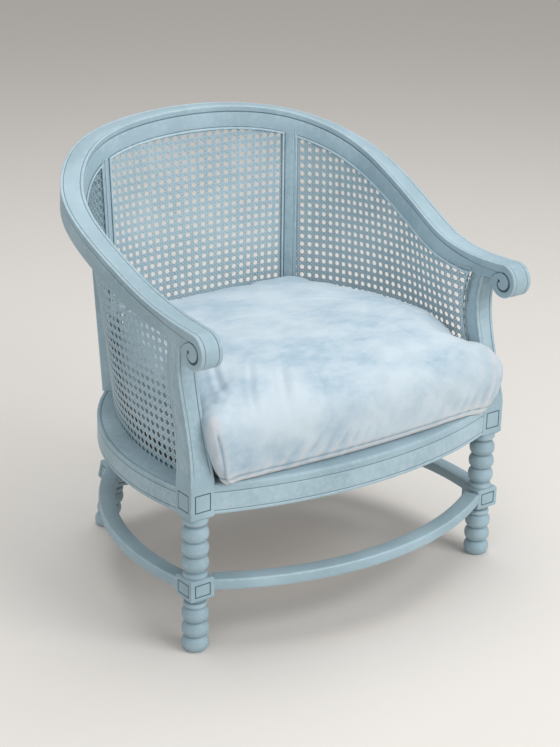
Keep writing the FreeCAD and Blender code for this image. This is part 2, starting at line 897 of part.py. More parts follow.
def share_at(rise, y):
    """Share of the side panel where it stands at a depth, found by halving."""
    low, high = 0, 1
    for step in range(search_count):
        middle = (low + high) / 2
        if cane_point(side_cane, middle, rise).y < y:
            low = middle
        else:
            high = middle
    return low


def side_end_strips():
    """Beads against the swept front post and the leaning rear post."""
    front, rear = [], []
    out, across = rear_post_axes()
    for rise in spread(0, 1, cane_section_count):
        height = cane_point(side_cane, 0, rise).z
        y = post_back_y(height)
        front.append((rise, share_at(rise, y - spline_width), share_at(rise, y + spline_width)))
        corner = rear_post_line(height) + across * (rear_post_width / 2)
        rear.append((rise, share_at(rise, corner.y - spline_width), 1))
    return [upright_strip(side_cane, front), upright_strip(side_cane, rear)]


def back_end_strips():
    """Beads against both rear posts."""
    out, across = rear_post_axes()
    edge_x = (rear_post_line(seat_height) - across * (rear_post_width / 2)).x
    inner = (1 - (edge_x - spline_width) / rear_post_foot_x) / 2
    right = [(rise, 0, inner) for rise in (0, 1)]
    left = [(rise, 1 - inner, 1) for rise in (0, 1)]
    return [upright_strip(back_cane, right), upright_strip(back_cane, left)]


def seat_deck(trims):
    """Board inside the panels, resting on the ring's inner margin."""
    gap = deck_gap + spline_height
    front_y = half_block + deck_clearance
    rear = rear_post_line(seat_height)
    rear_y = rear.y - rear_post_width / 2 - gap
    front_x, rear_x = side_cane_foot(front_y) - gap, side_cane_foot(rear_y) - gap
    side_rise = side_sag(front_x, front_y, rear_x, rear_y, side_cane_radius)
    back_x, back_edge = rear.x - rear_post_width, back_cane_edge_y - gap
    shoulder_x = leg_x - half_block - deck_clearance
    nodes = [
        (-shoulder_x, front_rail_y, 0),
        (shoulder_x, front_rail_y, 0),
        (shoulder_x, front_y, 0),
        (front_x, front_y, side_rise),
        (rear_x, rear_y, 0),
        (back_x, back_edge, back_cane_sag),
        (-back_x, back_edge, 0),
        (-rear_x, rear_y, side_rise),
        (-front_x, front_y, 0),
        (-shoulder_x, front_y, 0),
    ]
    return largest(prism(nodes, seat_height, deck_thickness).cut(trims))


def side_sag(x0, y0, x1, y1, radius):
    """Rise of an arc of one radius over the chord between two points."""
    half = hypot(x1 - x0, y1 - y0) / 2
    return radius - sqrt(radius ** 2 - half ** 2)


def corner_blocks(front_rail, side_rail, back_rail, post):
    """Glue blocks in the ring's front and rear corners, cut to the rails that they brace."""
    base = seat_height - corner_block_drop - corner_block_height
    inner = side_centre[0] + ring_side_radius - ring_width
    front_corner = (inner, half_block)
    front = prism([
        (front_corner[0] - front_block_leg, front_corner[1] - block_tuck, 0),
        (front_corner[0] + block_tuck, front_corner[1] - block_tuck, 0),
        (front_corner[0] + block_tuck, front_corner[1] + front_block_leg, 0),
        (front_corner[0] - block_tuck, front_corner[1] + front_block_leg, 0),
        (front_corner[0] - front_block_leg, front_corner[1], 0),
    ], base, corner_block_height)
    front = largest(front.cut([front_rail, side_rail, post]))
    rear_corner = corner_centre
    rear = prism([
        (rear_corner[0] - rear_block_leg, rear_corner[1] + block_tuck / 2, 0),
        (rear_corner[0] + block_tuck * 2, rear_corner[1] - rear_block_leg / 2, 0),
        (rear_corner[0] + 4 * block_tuck, rear_corner[1] - rear_block_leg / 2, 0),
        (rear_corner[0] + 2 * block_tuck, rear_corner[1] + 2 * block_tuck, 0),
        (rear_corner[0] - rear_block_leg, rear_corner[1] + 3 * block_tuck, 0),
    ], base, corner_block_height)
    rear = largest(rear.cut([side_rail, back_rail]))
    return front, rear


def peg(middle, direction, length, radius):
    """A dowel and the hole for it, centred on the joint face that it crosses."""
    start = middle - direction * (length / 2)
    inner = start + direction * dowel_end_gap
    return (rod(inner, direction, length - 2 * dowel_end_gap, radius),
            rod(start, direction, length, radius + dowel_gap))


def seat_rail_pegs():
    """Dowels at the front rail's end, the side rail's front end and the ring's rear joint."""
    pegs = []
    for side in (-1, 1):
        rise = side * rail_dowel_spread / 2
        front = vec(leg_x - half_block, -half_block / 3, ring_base + front_rail_height / 2 + rise)
        pegs.append(peg(front, vec(1, 0, 0), rail_dowel_length, rail_dowel_radius))
        rear = vec(leg_x + rise, half_block, ring_base + ring_height / 2)
        pegs.append(peg(rear, vec(0, 1, 0), rail_dowel_length, rail_dowel_radius))
        aim = radians(side_joint_angle)
        reach = ring_side_radius - ring_width / 2
        joint = vec(side_centre[0] + reach * cos(aim), side_centre[1] + reach * sin(aim),
                    ring_base + ring_height / 2 + rise)
        pegs.append(peg(joint, vec(-sin(aim), cos(aim), 0), ring_dowel_length, rail_dowel_radius))
    return pegs


def crest_pegs():
    pegs = []
    along = rail_line.tangent(crest_share)[0]
    along.normalize()
    for out in (crest_dowel_inset, rail_width - crest_dowel_inset):
        middle = rail_point(crest_share, out, crest_dowel_drop)
        pegs.append(peg(middle, along, crest_dowel_length, crest_dowel_radius))
    return pegs


def stretcher_pegs():
    """Dowels at the ends of the front, side and back stretchers on one side."""
    size = (stretcher_dowel_length, stretcher_dowel_radius)
    reach = leg_x - half_block
    line = front_stretcher_radius - stretcher_width / 2
    front_y = front_stretcher_centre - sqrt(line ** 2 - reach ** 2)
    side_x = side_stretcher_centre[0] + sqrt(
        side_stretcher_line ** 2 - (half_block - side_stretcher_y) ** 2)
    start, end = side_stretcher_angles()
    aim = radians(end) - side_stretcher_entry / side_stretcher_line
    corner = vec(side_stretcher_centre[0] + side_stretcher_line * cos(aim),
                 side_stretcher_centre[1] + side_stretcher_line * sin(aim), stretcher_middle)
    block = rear_block_centre()
    return [peg(vec(reach, front_y, stretcher_middle), vec(1, 0, 0), *size),
            peg(vec(side_x, half_block, stretcher_middle), vec(0, 1, 0), *size),
            peg(corner, vec(-sin(aim), cos(aim), 0), *size),
            peg(vec(block.x - half_block, block.y, stretcher_middle), vec(1, 0, 0), *size)]


def leg_pegs():
    foot, head, axis = rear_leg_axis()
    return [peg(head, axis, leg_dowel_length, leg_dowel_radius)]


def post_pegs():
    """Dowels at the swept post's head and at the rear post's foot and head."""
    out, across = rear_post_axes()
    size = (post_dowel_length, post_dowel_radius)
    front_head = vec(leg_x + post_spread, post_head_y(), scroll_height)
    foot = rear_post_line(seat_height) + out * (rear_post_depth / 2)
    head = rear_post_line(rear_post_head_z) + out * (rear_post_head_depth / 2)
    return [peg(front_head, vec(0, 0, 1), *size), peg(foot, vec(0, 0, 1), *size),
            peg(head, vec(0, 0, 1), *size)]


def post_head_y():
    """Middle of the swept post's depth where it meets the arm."""
    return post_back_y(scroll_height) - post_head_depth / 2


def screw_places():
    """Where each corner screw crosses its rail's inner face, and the way it is driven."""
    height = seat_height - corner_block_drop - corner_block_height / 2
    inner = side_centre[0] + ring_side_radius - ring_width
    front_x = inner - front_block_leg / 2
    front_inner = front_rail_radius - front_rail_width
    front_y = front_rail_centre - sqrt(front_inner ** 2 - front_x ** 2)
    side_inner = ring_side_radius - ring_width

    def side_face(y):
        return side_centre[0] + sqrt(side_inner ** 2 - (y - side_centre[1]) ** 2)

    side_y = half_block + front_block_leg * 2 / 3
    rear_y = corner_centre[1] - rear_block_leg / 4
    back_x = corner_centre[0] - rear_block_leg / 2
    back_inner = ring_back_radius - ring_width
    back_face = back_centre[1] + sqrt(back_inner ** 2 - back_x ** 2)
    return [(vec(front_x, front_y, height), vec(0, -1, 0)),
            (vec(side_face(side_y), side_y, height), vec(1, 0, 0)),
            (vec(side_face(rear_y), rear_y, height), vec(1, 0, 0)),
            (vec(back_x, back_face, height), vec(0, 1, 0))]


def screw(place, direction):
    """A screw, the hole for it and the pocket that its head is driven through."""
    tip = place + direction * screw_bite
    seat = tip - direction * screw_length
    head = seat - direction * screw_head_height
    body = rod(seat, direction, screw_length, screw_radius)
    body = body.fuse(rod(head, direction, screw_head_height, screw_head_radius))
    hole = rod(seat, direction, screw_length + screw_gap, screw_radius + screw_gap)
    pocket = rod(seat, direction * -1, screw_length, screw_head_radius + screw_gap)
    return body, hole, pocket


def drawn_in(nodes, inset):
    """Closed outline's nodes moved inside it by an even distance, along their corners' bisectors."""
    moved = []
    for index, (a, b, rise) in enumerate(nodes):
        total_a, total_b, spans = 0, 0, 1
        ends = (nodes[index - 1], nodes[index], nodes[(index + 1) % len(nodes)])
        for start, end in zip(ends, ends[1:]):
            run = hypot(end[0] - start[0], end[1] - start[1])
            normal_a, normal_b = (start[1] - end[1]) / run, (end[0] - start[0]) / run
            spans += total_a * normal_a + total_b * normal_b
            total_a, total_b = total_a + normal_a, total_b + normal_b
        moved.append((a + total_a * inset / spans, b + total_b * inset / spans, rise))
    return moved


def cushion_outline(pull, flare, swell, inset):
    """Plan line of the cushion or of its filling at one height, drawn in to the middle by pull."""
    middle = (cushion_front_y + cushion_rear_y) / 2
    side_rise = side_sag(cushion_neck_x, cushion_neck_y, cushion_side_x, cushion_side_y,
                         cushion_side_radius)
    flare_x = cushion_neck_x + (cushion_flare_x - cushion_neck_x) * flare
    slack = cushion_swell * (1 - swell)
    shrink = 1 - pull * cushion_pull_share
    right = [
        (cushion_corner_x, cushion_flare_y + slack, cushion_corner_bulge),
        (flare_x, cushion_corner_y + slack / 2, 0),
        (cushion_neck_x, cushion_neck_y, side_rise),
        (cushion_side_x, cushion_side_y, cushion_rear_bulge),
        (cushion_rear_x, cushion_rear_y, cushion_back_bulge),
    ]
    rises = [rise for x, y, rise in reversed(right[:-1])] + [cushion_flare_y - cushion_front_y]
    left = [(-x, y, rise) for (x, y, end_rise), rise in zip(reversed(right), rises)]
    return [(x * shrink, middle + (y - middle) * shrink, rise * shrink)
            for x, y, rise in drawn_in(right + left, inset)]


def cushion_body(inset):
    """Crowned cushion with drawn-in sides, lofted through level outlines."""
    base = deck_top + cushion_gap + inset
    tall = cushion_thickness - 2 * inset
    sections = [outline(cushion_outline(pull, flare, swell, inset), flat(base + tall * level))
                for level, pull, flare, swell in cushion_shares]
    return Part.makeLoft(sections, True, True)


def cushion_filling():
    """The cover's hollow, drawn in evenly towards the middle of its flat foot, on which it lies."""
    filling = cushion_body(cushion_wall)
    middle = vec(0, (cushion_front_y + cushion_rear_y) / 2, deck_top + cushion_gap + cushion_wall)
    filling.scale(cushion_filling_share, middle)
    filling.translate(vec(0, 0, cushion_insert_gap))
    return filling


def write(name, shape):
    """One named piece, placed about the middle of the chair's width and depth."""
    placed = shape.copy()
    placed.translate(vec(0, -middle_y, 0))
    placed.exportStep("parts/" + name + ".step")


def drill(pieces, middle_names, names, pegs):
    """Cuts the pegs' holes into the named pieces; a piece on the centre plane gets both sides."""
    holes = [hole for body, hole in pegs]
    for name in names:
        both = holes + [mirrored(hole) for hole in holes] if name in middle_names else holes
        pieces[name] = pieces[name].cut(both)


def both_sides(bodies):
    return Part.makeCompound(bodies + [mirrored(body) for body in bodies])


def main():
    os.makedirs("parts", exist_ok=True)
    crest = rail_length(-crest_share, crest_share, crest_section_count)
    arm = arm_rail()
    post = front_post().cut(arm)
    leg = rear_leg()
    front_rail = front_seat_rail()
    side_rail = side_seat_rail(front_rail)
    back_rail = back_seat_rail()
    upright = rear_post([arm, crest])
    side_trims = [post, arm, upright]
    back_trims = [crest, arm, mirrored(arm), upright, mirrored(upright)]
    front_corner, rear_corner = corner_blocks(front_rail, side_rail, back_rail, post)
    middle = {
        "back_crest_rail": crest,
        "front_seat_rail": front_rail,
        "back_seat_rail": back_rail,
        "front_stretcher": front_stretcher(),
        "back_stretcher": back_stretcher(leg),
        "back_cane_panel": cane_panel(back_cane, back_trims, back_ends),
        "back_cane_spline": cane_spline(back_cane, back_trims, back_end_strips()),
        "seat_deck": seat_deck([front_rail]),
        "cushion_cover": cushion_body(0).cut(cushion_body(cushion_wall)),
        "cushion_insert": cushion_filling(),
    }
    sides = {
        "arm_rail": arm,
        "front_post": post,
        "rear_leg": leg,
        "rear_post": upright,
        "seat_rail": side_rail,
        "stretcher": side_stretcher(leg),
        "cane_panel": cane_panel(side_cane, side_trims),
        "cane_spline": cane_spline(side_cane, side_trims, side_end_strips()),
        "front_corner_block": front_corner,
        "rear_corner_block": rear_corner,
    }
    pieces = {**middle, **sides}
    pegs = {
        "seat_rail_dowels": (seat_rail_pegs(), ["front_seat_rail", "seat_rail", "back_seat_rail",
                                                "front_post"]),
        "crest_dowels": (crest_pegs(), ["back_crest_rail", "arm_rail"]),
        "stretcher_dowels": (stretcher_pegs(), ["front_stretcher", "stretcher", "back_stretcher",
                                                "front_post", "rear_leg"]),
        "leg_dowels": (leg_pegs(), ["rear_leg", "seat_rail", "back_seat_rail"]),
        "post_dowels": (post_pegs(), ["front_post", "arm_rail", "rear_post", "seat_rail",
                                      "back_seat_rail", "back_crest_rail"]),
    }
    for name, (pairs, names) in pegs.items():
        drill(pieces, middle, names, pairs)
        write(name, both_sides([body for body, hole in pairs]))
    screws = [screw(place, direction) for place, direction in screw_places()]
    drill(pieces, middle, ["front_seat_rail", "seat_rail", "back_seat_rail", "front_corner_block",
                           "rear_corner_block"], [(body, hole) for body, hole, pocket in screws])
    pockets = [(body, pocket) for body, hole, pocket in screws]
    drill(pieces, middle, ["front_corner_block", "rear_corner_block"], pockets)
    write("corner_block_screws", both_sides([body for body, hole, pocket in screws]))
    for name in middle:
        write(name, pieces[name])
    for name in sides:
        write("right_" + name, pieces[name])
        write("left_" + name, mirrored(pieces[name]))


main()
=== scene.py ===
"""Visual model of a painted cane tub armchair with a loose cushion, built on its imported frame.

Lengths are millimetres in the chair's own layout, where y is 0 on the line between the front
legs. Shape.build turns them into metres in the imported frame.
"""
import logging
import math
from dataclasses import dataclass, field
from enum import Enum

import bmesh
import bpy
import numpy as np
from mathutils import Matrix, Vector


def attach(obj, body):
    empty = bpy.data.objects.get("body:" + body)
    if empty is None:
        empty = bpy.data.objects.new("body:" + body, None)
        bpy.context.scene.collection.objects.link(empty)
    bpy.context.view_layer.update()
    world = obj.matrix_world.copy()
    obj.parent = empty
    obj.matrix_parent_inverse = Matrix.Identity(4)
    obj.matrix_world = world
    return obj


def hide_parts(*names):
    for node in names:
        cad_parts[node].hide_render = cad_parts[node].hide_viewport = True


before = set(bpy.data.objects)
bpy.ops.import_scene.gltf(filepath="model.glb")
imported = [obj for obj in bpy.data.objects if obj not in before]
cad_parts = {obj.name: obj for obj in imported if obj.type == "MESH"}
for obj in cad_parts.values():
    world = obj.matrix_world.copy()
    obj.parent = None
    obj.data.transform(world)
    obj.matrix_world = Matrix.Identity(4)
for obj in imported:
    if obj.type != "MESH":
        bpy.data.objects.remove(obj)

LOG = logging.getLogger("armchair")
METRE = 1000.0
FRONT_LINE = 196.35
LEG_X = 294.0
HALF_BLOCK = 21.5
RING_TOP = 272.0
RING_BASE = 232.0
STRETCHER_LEVEL = 112.25
FRAME_INSETS = (0, 4.8, 5.4, 6.4, 7.0)
FRAME_CUT = 1.3
# Name of the per-point value that holds wear together with painted highlights on edges and painted
# shade in grooves and creases.
WEAR_AND_SHADING = "wear_and_shading"
Array = np.ndarray
Row = tuple[float, ...]


class Slot(Enum):
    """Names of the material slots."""

    PAINT = "painted_wood"
    CANE = "painted_cane"
    BARE = "bare_wood"
    DOWEL = "dowel_wood"
    SCREW = "screw_steel"
    FABRIC = "cushion_fabric"


def smooth_line(knots: Array, values: Array, at: Array) -> Array:
    """Cubic line of continuous curvature through values at knots.

    Args:
        knots: Increasing places, shape (n,).
        values: One value or one row of values for each knot.
        at: Places to evaluate, shape (m,).

    Returns:
        Array of shape (m,) or (m, k).
    """
    x, y = np.asarray(knots, float), np.asarray(values, float)
    single = y.ndim == 1
    y = y.reshape(len(x), -1)
    step = np.diff(x)[:, None]
    slope = np.diff(y, axis=0) / step
    first = np.polyfit(x[:4] - x[0], y[:4], 3)[-2]
    last = np.polyfit(x[-4:] - x[-1], y[-4:], 3)[-2]
    matrix = np.zeros((len(x), len(x)))
    inner = np.arange(1, len(x) - 1)
    matrix[inner, inner - 1] = step[:-1, 0]
    matrix[inner, inner] = 2 * (step[:-1, 0] + step[1:, 0])
    matrix[inner, inner + 1] = step[1:, 0]
    matrix[0, :2] = (2 * step[0, 0], step[0, 0])
    matrix[-1, -2:] = (step[-1, 0], 2 * step[-1, 0])
    right = np.vstack([slope[:1] - first, np.diff(slope, axis=0), last - slope[-1:]]) * 6
    bend = np.linalg.solve(matrix, right)
    at = np.clip(np.asarray(at, float), x[0], x[-1])
    index = np.clip(np.searchsorted(x, at) - 1, 0, len(x) - 2)
    b = ((at - x[index]) / step[index, 0])[:, None]
    a = 1 - b
    out = a * y[index] + b * y[index + 1]
    out += ((a ** 3 - a) * bend[index] + (b ** 3 - b) * bend[index + 1]) * step[index] ** 2 / 6
    return out[:, 0] if single else out


def ease(value: Array) -> Array:
    """Smooth step of an array from 0 to 1."""
    value = np.clip(value, 0, 1)
    return value * value * (3 - 2 * value)


def unit(vectors: Array) -> Array:
    """Vectors of length one along the last axis."""
    vectors = np.asarray(vectors, float)
    return vectors / np.linalg.norm(vectors, axis=-1, keepdims=True)


def rounded(corners: list[Row], steps: int = 4) -> tuple[Array, Array]:
    """Closed section with rounded corners.

    Args:
        corners: Rows of (a, b, radius) in order round the section.
        steps: Points on each rounding.

    Returns:
        Points of shape (m, 2) and a value at each: 1 on sharp outer corners, for wear with a
        painted highlight, and -1 in grooves, for painted shade.
    """
    plan = np.array([row[:2] for row in corners], float)
    points = []
    for index, (_, _, radius) in enumerate(corners):
        here = plan[index]
        before, after = plan[index - 1], plan[(index + 1) % len(plan)]
        if radius <= 0:
            points.append(here[None])
            continue
        back, on = unit(before - here), unit(after - here)
        half = math.acos(float(np.clip(back @ on, -0.9999, 0.9999))) / 2
        reach = min(radius / math.tan(half), 0.48 * np.linalg.norm(before - here),
                    0.48 * np.linalg.norm(after - here))
        t = np.linspace(0, 1, steps)[:, None]
        points.append((1 - t) ** 2 * (here + back * reach) + 2 * t * (1 - t) * here
                      + t ** 2 * (here + on * reach))
    points = np.vstack(points)
    run = np.roll(points, -1, axis=0) - points
    length = np.linalg.norm(run, axis=1)
    before = np.roll(run, 1, axis=0)
    turn = np.arctan2(before[:, 0] * run[:, 1] - before[:, 1] * run[:, 0],
                      np.sum(before * run, axis=1))
    ahead = np.roll(points, -1, axis=0)
    area = np.sum(points[:, 0] * ahead[:, 1] - ahead[:, 0] * points[:, 1])
    scale = np.minimum(length, np.roll(length, 1)) + 0.35
    return points, np.clip(np.sign(area) * turn / scale * 1.4, -1, 1)


@dataclass
class Shape:
    """Points and faces of one piece, gathered from grids."""

    points: list[Array] = field(default_factory=list)
    wear_and_shading: list[Array] = field(default_factory=list)
    faces: list[list[int]] = field(default_factory=list)
    count: int = 0

    def add(self, points: Array, wear_and_shading: Array | float, faces: list[list[int]]) -> None:
        """Adds loose points with faces numbered from zero.

        Args:
            points: Rows of x, y, z.
            wear_and_shading: Wear and painted shading of each point, or one value.
            faces: Corner numbers of each face.
        """
        points = np.asarray(points, float).reshape(-1, 3)
        self.points.append(points)
        self.wear_and_shading.append(np.broadcast_to(wear_and_shading, len(points)).astype(float))
        self.faces += [[self.count + corner for corner in face] for face in faces]
        self.count += len(points)

    def grid(self, points: Array, wear_and_shading: Array | float = 0.0, wrap_u: bool = False,
             wrap_v: bool = False) -> None:
        """Adds a grid of quads.

        Args:
            points: Array of shape (n, m, 3).
            wear_and_shading: Wear and painted shading that broadcasts to (n, m).
            wrap_u: Joins the last row to the first.
            wrap_v: Joins the last column to the first.
        """
        rows, columns = points.shape[:2]
        index = np.arange(rows * columns).reshape(rows, columns)
        if wrap_u:
            index = np.vstack([index, index[:1]])
        if wrap_v:
            index = np.hstack([index, index[:, :1]])
        quads = np.stack([index[:-1, :-1], index[1:, :-1], index[1:, 1:], index[:-1, 1:]], -1)
        self.add(points, np.broadcast_to(wear_and_shading, (rows, columns)).reshape(-1),
                 quads.reshape(-1, 4).tolist())

    def sweep(self, sections: Array, wear_and_shading: Array | float = 0.0) -> None:
        """Adds closed sections joined in order, with flat ends.

        Args:
            sections: Array of shape (n, m, 3).
            wear_and_shading: Wear and painted shading that broadcasts to (n, m).
        """
        start = self.count
        self.grid(sections, wear_and_shading, wrap_v=True)
        rows, columns = sections.shape[:2]
        for row in (0, rows - 1):
            ring = start + row * columns + np.arange(columns)
            self.faces += [[self.count, int(a), int(b)] for a, b in zip(ring, np.roll(ring, -1))]
            self.add(sections[row].mean(axis=0), 0.0, [])

    def lathe(self, rows: Array, segments: int = 48) -> None:
        """Adds a turning about the upright axis.

        Args:
            rows: Rows of (radius, height, wear and painted shading).
            segments: Sides of the turning.
        """
        angle = np.linspace(0, 2 * np.pi, segments, endpoint=False)
        ring = np.stack([np.cos(angle), np.sin(angle), np.zeros(segments)], -1)
        points = ring[None] * rows[:, None, :1] + rows[:, None, 1:2] * np.array([0, 0, 1.0])
        self.sweep(points, rows[:, 2:])

    def block(self, low: float, high: float, bevels: Row, framed: Row | None = None) -> None:
        """Adds a leg's square block, whose front and outer face may carry an incised frame.

        Args:
            low: Height of the foot.
            high: Height of the head.
            bevels: Chamfer at the foot and at the head.
            framed: Lowest and highest place of the frame, or None for a plain block.
        """
        half = HALF_BLOCK
        flat, wear_and_shading = rounded([(-half, -half, 2.2), (half, -half, 2.2), (half, half, 1.8),
                              (-half, half, 1.8)])
        z = np.array([low, low + bevels[0], high - bevels[1], high])
        shrink = 1 - np.array([bevels[0], 0, 0, bevels[1]]) / half
        points = np.concatenate([flat[None] * shrink[:, None, None],
                                 np.broadcast_to(z[:, None, None], (4, len(flat), 1))], -1)
        first = len(self.faces) + len(flat)
        self.sweep(points, 0.5 * wear_and_shading)
        if framed is None:
            return
        inset = np.array(FRAME_INSETS)
        lift = inset - inset[1]
        lows = np.where(inset > 0, framed[0] + lift, z[1])
        highs = np.where(inset > 0, framed[1] - lift, z[2])
        sunk = np.array([0, 0, FRAME_CUT, FRAME_CUT, 0])
        for column in (7, 3):
            del self.faces[first + column]
            start, side = flat[column], flat[column + 1] - flat[column]
            wide = np.linalg.norm(side)
            side = side / wide
            t = np.stack([inset, wide - inset, wide - inset, inset], 1)[..., None]
            level = start + side * t - np.array([side[1], -side[0]]) * sunk[:, None, None]
            rings = np.concatenate([level, np.stack([lows, lows, highs, highs], 1)[..., None]], -1)
            # The sunk lines of the frame carry painted shade.
            self.grid(rings, -(sunk[:, None] > 0).astype(float), wrap_v=True)
            self.add(rings[-1], 0.0, [[0, 1, 2, 3]])

    def move(self, turn: Array, shift: Array, low: float, high: float) -> None:
        """Turns and shifts every point gathered so far, and trims it to two heights.

        Args:
            turn: Rotation matrix.
            shift: Shift added after the turn.
            low: Lowest height that stays.
            high: Highest height that stays.
        """
        points = np.vstack(self.points) @ np.asarray(turn).T + np.asarray(shift, float)
        points[:, 2] = np.clip(points[:, 2], low, high)
        self.points, self.wear_and_shading = [points], [np.concatenate(self.wear_and_shading)]

    def mirrored(self) -> "Shape":
        """The same shape on the chair's other side, its faces turned round again."""
        flipped = [points * np.array([-1, 1, 1]) for points in self.points]
        return Shape(flipped, list(self.wear_and_shading), [face[::-1] for face in self.faces], self.count)

    def build(self, name: str, finish: "Finish", *nodes: str, angle: float = 34.0) -> None:
        """Makes the object, which rides on the frame's body and stands for the named nodes.

        Args:
            name: Name of the piece.
            finish: Its finish.
            nodes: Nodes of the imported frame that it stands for.
            angle: Degrees above which an edge stays sharp.
        """
        points = (np.vstack(self.points) - np.array([0, FRONT_LINE, 0])) / METRE
        mesh = bpy.data.meshes.new(name)
        mesh.from_pydata(points.tolist(), [], self.faces)
        layer = mesh.attributes.new(WEAR_AND_SHADING, "FLOAT", "POINT")
        layer.data.foreach_set("value", np.concatenate(self.wear_and_shading).astype(np.float32))
        solid = bmesh.new()
        solid.from_mesh(mesh)
        bmesh.ops.remove_doubles(solid, verts=solid.verts, dist=2e-6)
        bmesh.ops.recalc_face_normals(solid, faces=solid.faces)
        solid.to_mesh(mesh)
        solid.free()
        mesh.shade_smooth()
        mesh.set_sharp_from_angle(angle=math.radians(angle))
        adopt(bpy.data.objects.new(name, mesh), finish, "frame", *nodes)


def adopt(piece: bpy.types.Object, finish: "Finish", body: str, *nodes: str) -> None:
    """Links a piece, gives it its finish and lets it stand for the named nodes.

    Args:
        piece: Mesh object.
        finish: Its finish.
        body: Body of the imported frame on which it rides.
        nodes: Nodes that it stands for.
    """
    if not piece.users_collection:
        bpy.context.collection.objects.link(piece)
    piece.data.materials.clear()
    piece.data.materials.append(finish.material)
    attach(piece, body)
    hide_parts(*nodes)
    LOG.info("%s: %d faces", piece.name, len(piece.data.polygons))


def both(shape: Shape, name: str, finish: "Finish", angle: float = 34.0) -> None:
    """Builds a right-hand shape and its mirror.

    Args:
        shape: Shape of the right side.
        name: Name of the nodes without their side.
        finish: Finish of both pieces.
        angle: Degrees above which an edge stays sharp.
    """
    for side, one in (("right", shape), ("left", shape.mirrored())):
        one.build(f"{side}_{name}_piece", finish, f"{side}_{name}", angle=angle)


def srgb(code: str) -> Row:
    """Linear colour of an sRGB hex code.

    Args:
        code: Six hex digits after a hash.

    Returns:
        Red, green, blue and alpha.
    """
    raw = np.array([int(code[i:i + 2], 16) for i in (1, 3, 5)]) / 255
    linear = np.where(raw <= 0.04045, raw / 12.92, ((raw + 0.055) / 1.055) ** 2.4)
    return (*linear.tolist(), 1.0)


def add(tree: bpy.types.NodeTree, kind: str, inputs: dict, output: int | str = 0,
        **options: object) -> bpy.types.NodeSocket:
    """Adds one node with its settings and links.

    Args:
        tree: Node tree that receives the node.
        kind: Type name after "ShaderNode".
        inputs: A socket to link, a hex colour or a value for each named or numbered input.
        output: Name or number of the output that is handed back.
        options: Properties of the node itself.

    Returns:
        The chosen output socket.
    """
    made = tree.nodes.new("ShaderNode" + kind)
    for name, value in options.items():
        setattr(made, name, value)
    for key, value in inputs.items():
        if isinstance(value, bpy.types.NodeSocket):
            tree.links.new(value, made.inputs[key])
        else:
            made.inputs[key].default_value = srgb(value) if isinstance(value, str) else value
    return made.outputs[output]


def surface(name: str) -> tuple[bpy.types.Material, bpy.types.NodeTree, bpy.types.NodeSocket]:
    """Starts a material.

    Args:
        name: Name of the material.

    Returns:
        The material, its tree and its object coordinates.
    """
    material = bpy.data.materials.new(name)
    material.use_nodes = True
    return material, material.node_tree, add(material.node_tree, "TexCoord", {}, "Object")


def dress(tree: bpy.types.NodeTree, links: dict, relief: tuple, constants: dict) -> None:
    """Joins a tree to its shader.

    Args:
        tree: Node tree of the material.
        links: Sockets for the shader's inputs.
        relief: Height socket and its depth in millimetres.
        constants: Values set on the shader's own inputs.
    """
    shader = tree.nodes["Principled BSDF"]
    normal = add(tree, "Bump", {"Height": relief[0], "Distance": relief[1] / METRE,
                                "Strength": 0.6})
    for key, socket in {**links, "Normal": normal}.items():
        tree.links.new(socket, shader.inputs[key])
    for key, value in constants.items():
        shader.inputs[key].default_value = value


@dataclass(frozen=True)
class Paint:
    """Chalky furniture paint, brushed over primed hardwood and rubbed back by hand.

    The brush leaves soft clouds of two close tones, the rubbed-back paint pales the raised edges,
    which also carry a painted highlight, and painted shade darkens the grooves. Satin, roughness
    about 0.5.
    """

    name: str
    slot: Slot
    base: str = "#8da6b1"
    pale: str = "#a0b9c4"
    rub_and_highlight: str = "#c3d5dd"
    groove: str = "#3f545f"
    wood: str = "#8d7767"
    cloud_mm: float = 130.0
    brush_mm: float = 9.0
    fleck_mm: float = 26.0
    rubbing_and_highlight: float = 0.6

    def make(self) -> bpy.types.Material:
        """Builds the material.

        Returns:
            The material, ready for a piece.
        """
        material, tree, place = surface(self.name)
        wear_and_shading = add(tree, "Attribute", {}, "Fac", attribute_name=WEAR_AND_SHADING)
        cloud = add(tree, "TexNoise", {"Vector": place, "Scale": METRE / self.cloud_mm,
                                       "Detail": 5.0})
        brush = add(tree, "TexNoise", {"Vector": place, "Scale": METRE / self.brush_mm,
                                       "Detail": 4.0})
        fleck = add(tree, "TexNoise", {"Vector": place, "Scale": METRE / self.fleck_mm,
                                       "Detail": 6.0, "Roughness": 0.7})
        tone = add(tree, "MapRange", {0: cloud, 1: 0.36, 2: 0.66})
        colour = add(tree, "Mix", {0: tone, 6: self.base, 7: self.pale}, 2, data_type="RGBA")
        # Rubbed edges, which also carry a painted highlight: the section's value, broken up by the
        # brush marks.
        edge = add(tree, "Math", {0: brush, 1: 0.9, 2: wear_and_shading}, operation="MULTIPLY_ADD")
        edge = add(tree, "MapRange", {0: edge, 1: 0.65, 2: 1.3, 4: self.rubbing_and_highlight})
        colour = add(tree, "Mix", {0: edge, 6: colour, 7: self.rub_and_highlight}, 2, data_type="RGBA")
        # A few warm flecks of bare wood, only where an edge meets a fleck.
        chip = add(tree, "Math", {0: wear_and_shading, 1: 0.28, 2: fleck}, operation="MULTIPLY_ADD")
        chip = add(tree, "MapRange", {0: chip, 1: 0.86, 2: 0.95, 4: 0.5})
        colour = add(tree, "Mix", {0: chip, 6: colour, 7: self.wood}, 2, data_type="RGBA")
        # Painted shade: grooves and hollows, where the value is below zero, take the dark groove
        # colour.
        dark = add(tree, "MapRange", {0: wear_and_shading, 1: -0.1, 2: -0.8, 4: 0.85})
        colour = add(tree, "Mix", {0: dark, 6: colour, 7: self.groove}, 2, data_type="RGBA")
        rough = add(tree, "MapRange", {0: brush, 1: 0.3, 2: 0.7, 3: 0.46, 4: 0.58})
        dress(tree, {"Base Color": colour, "Roughness": rough}, (brush, 0.12),
              {"IOR": 1.48, "Specular IOR Level": 0.45})
        return material


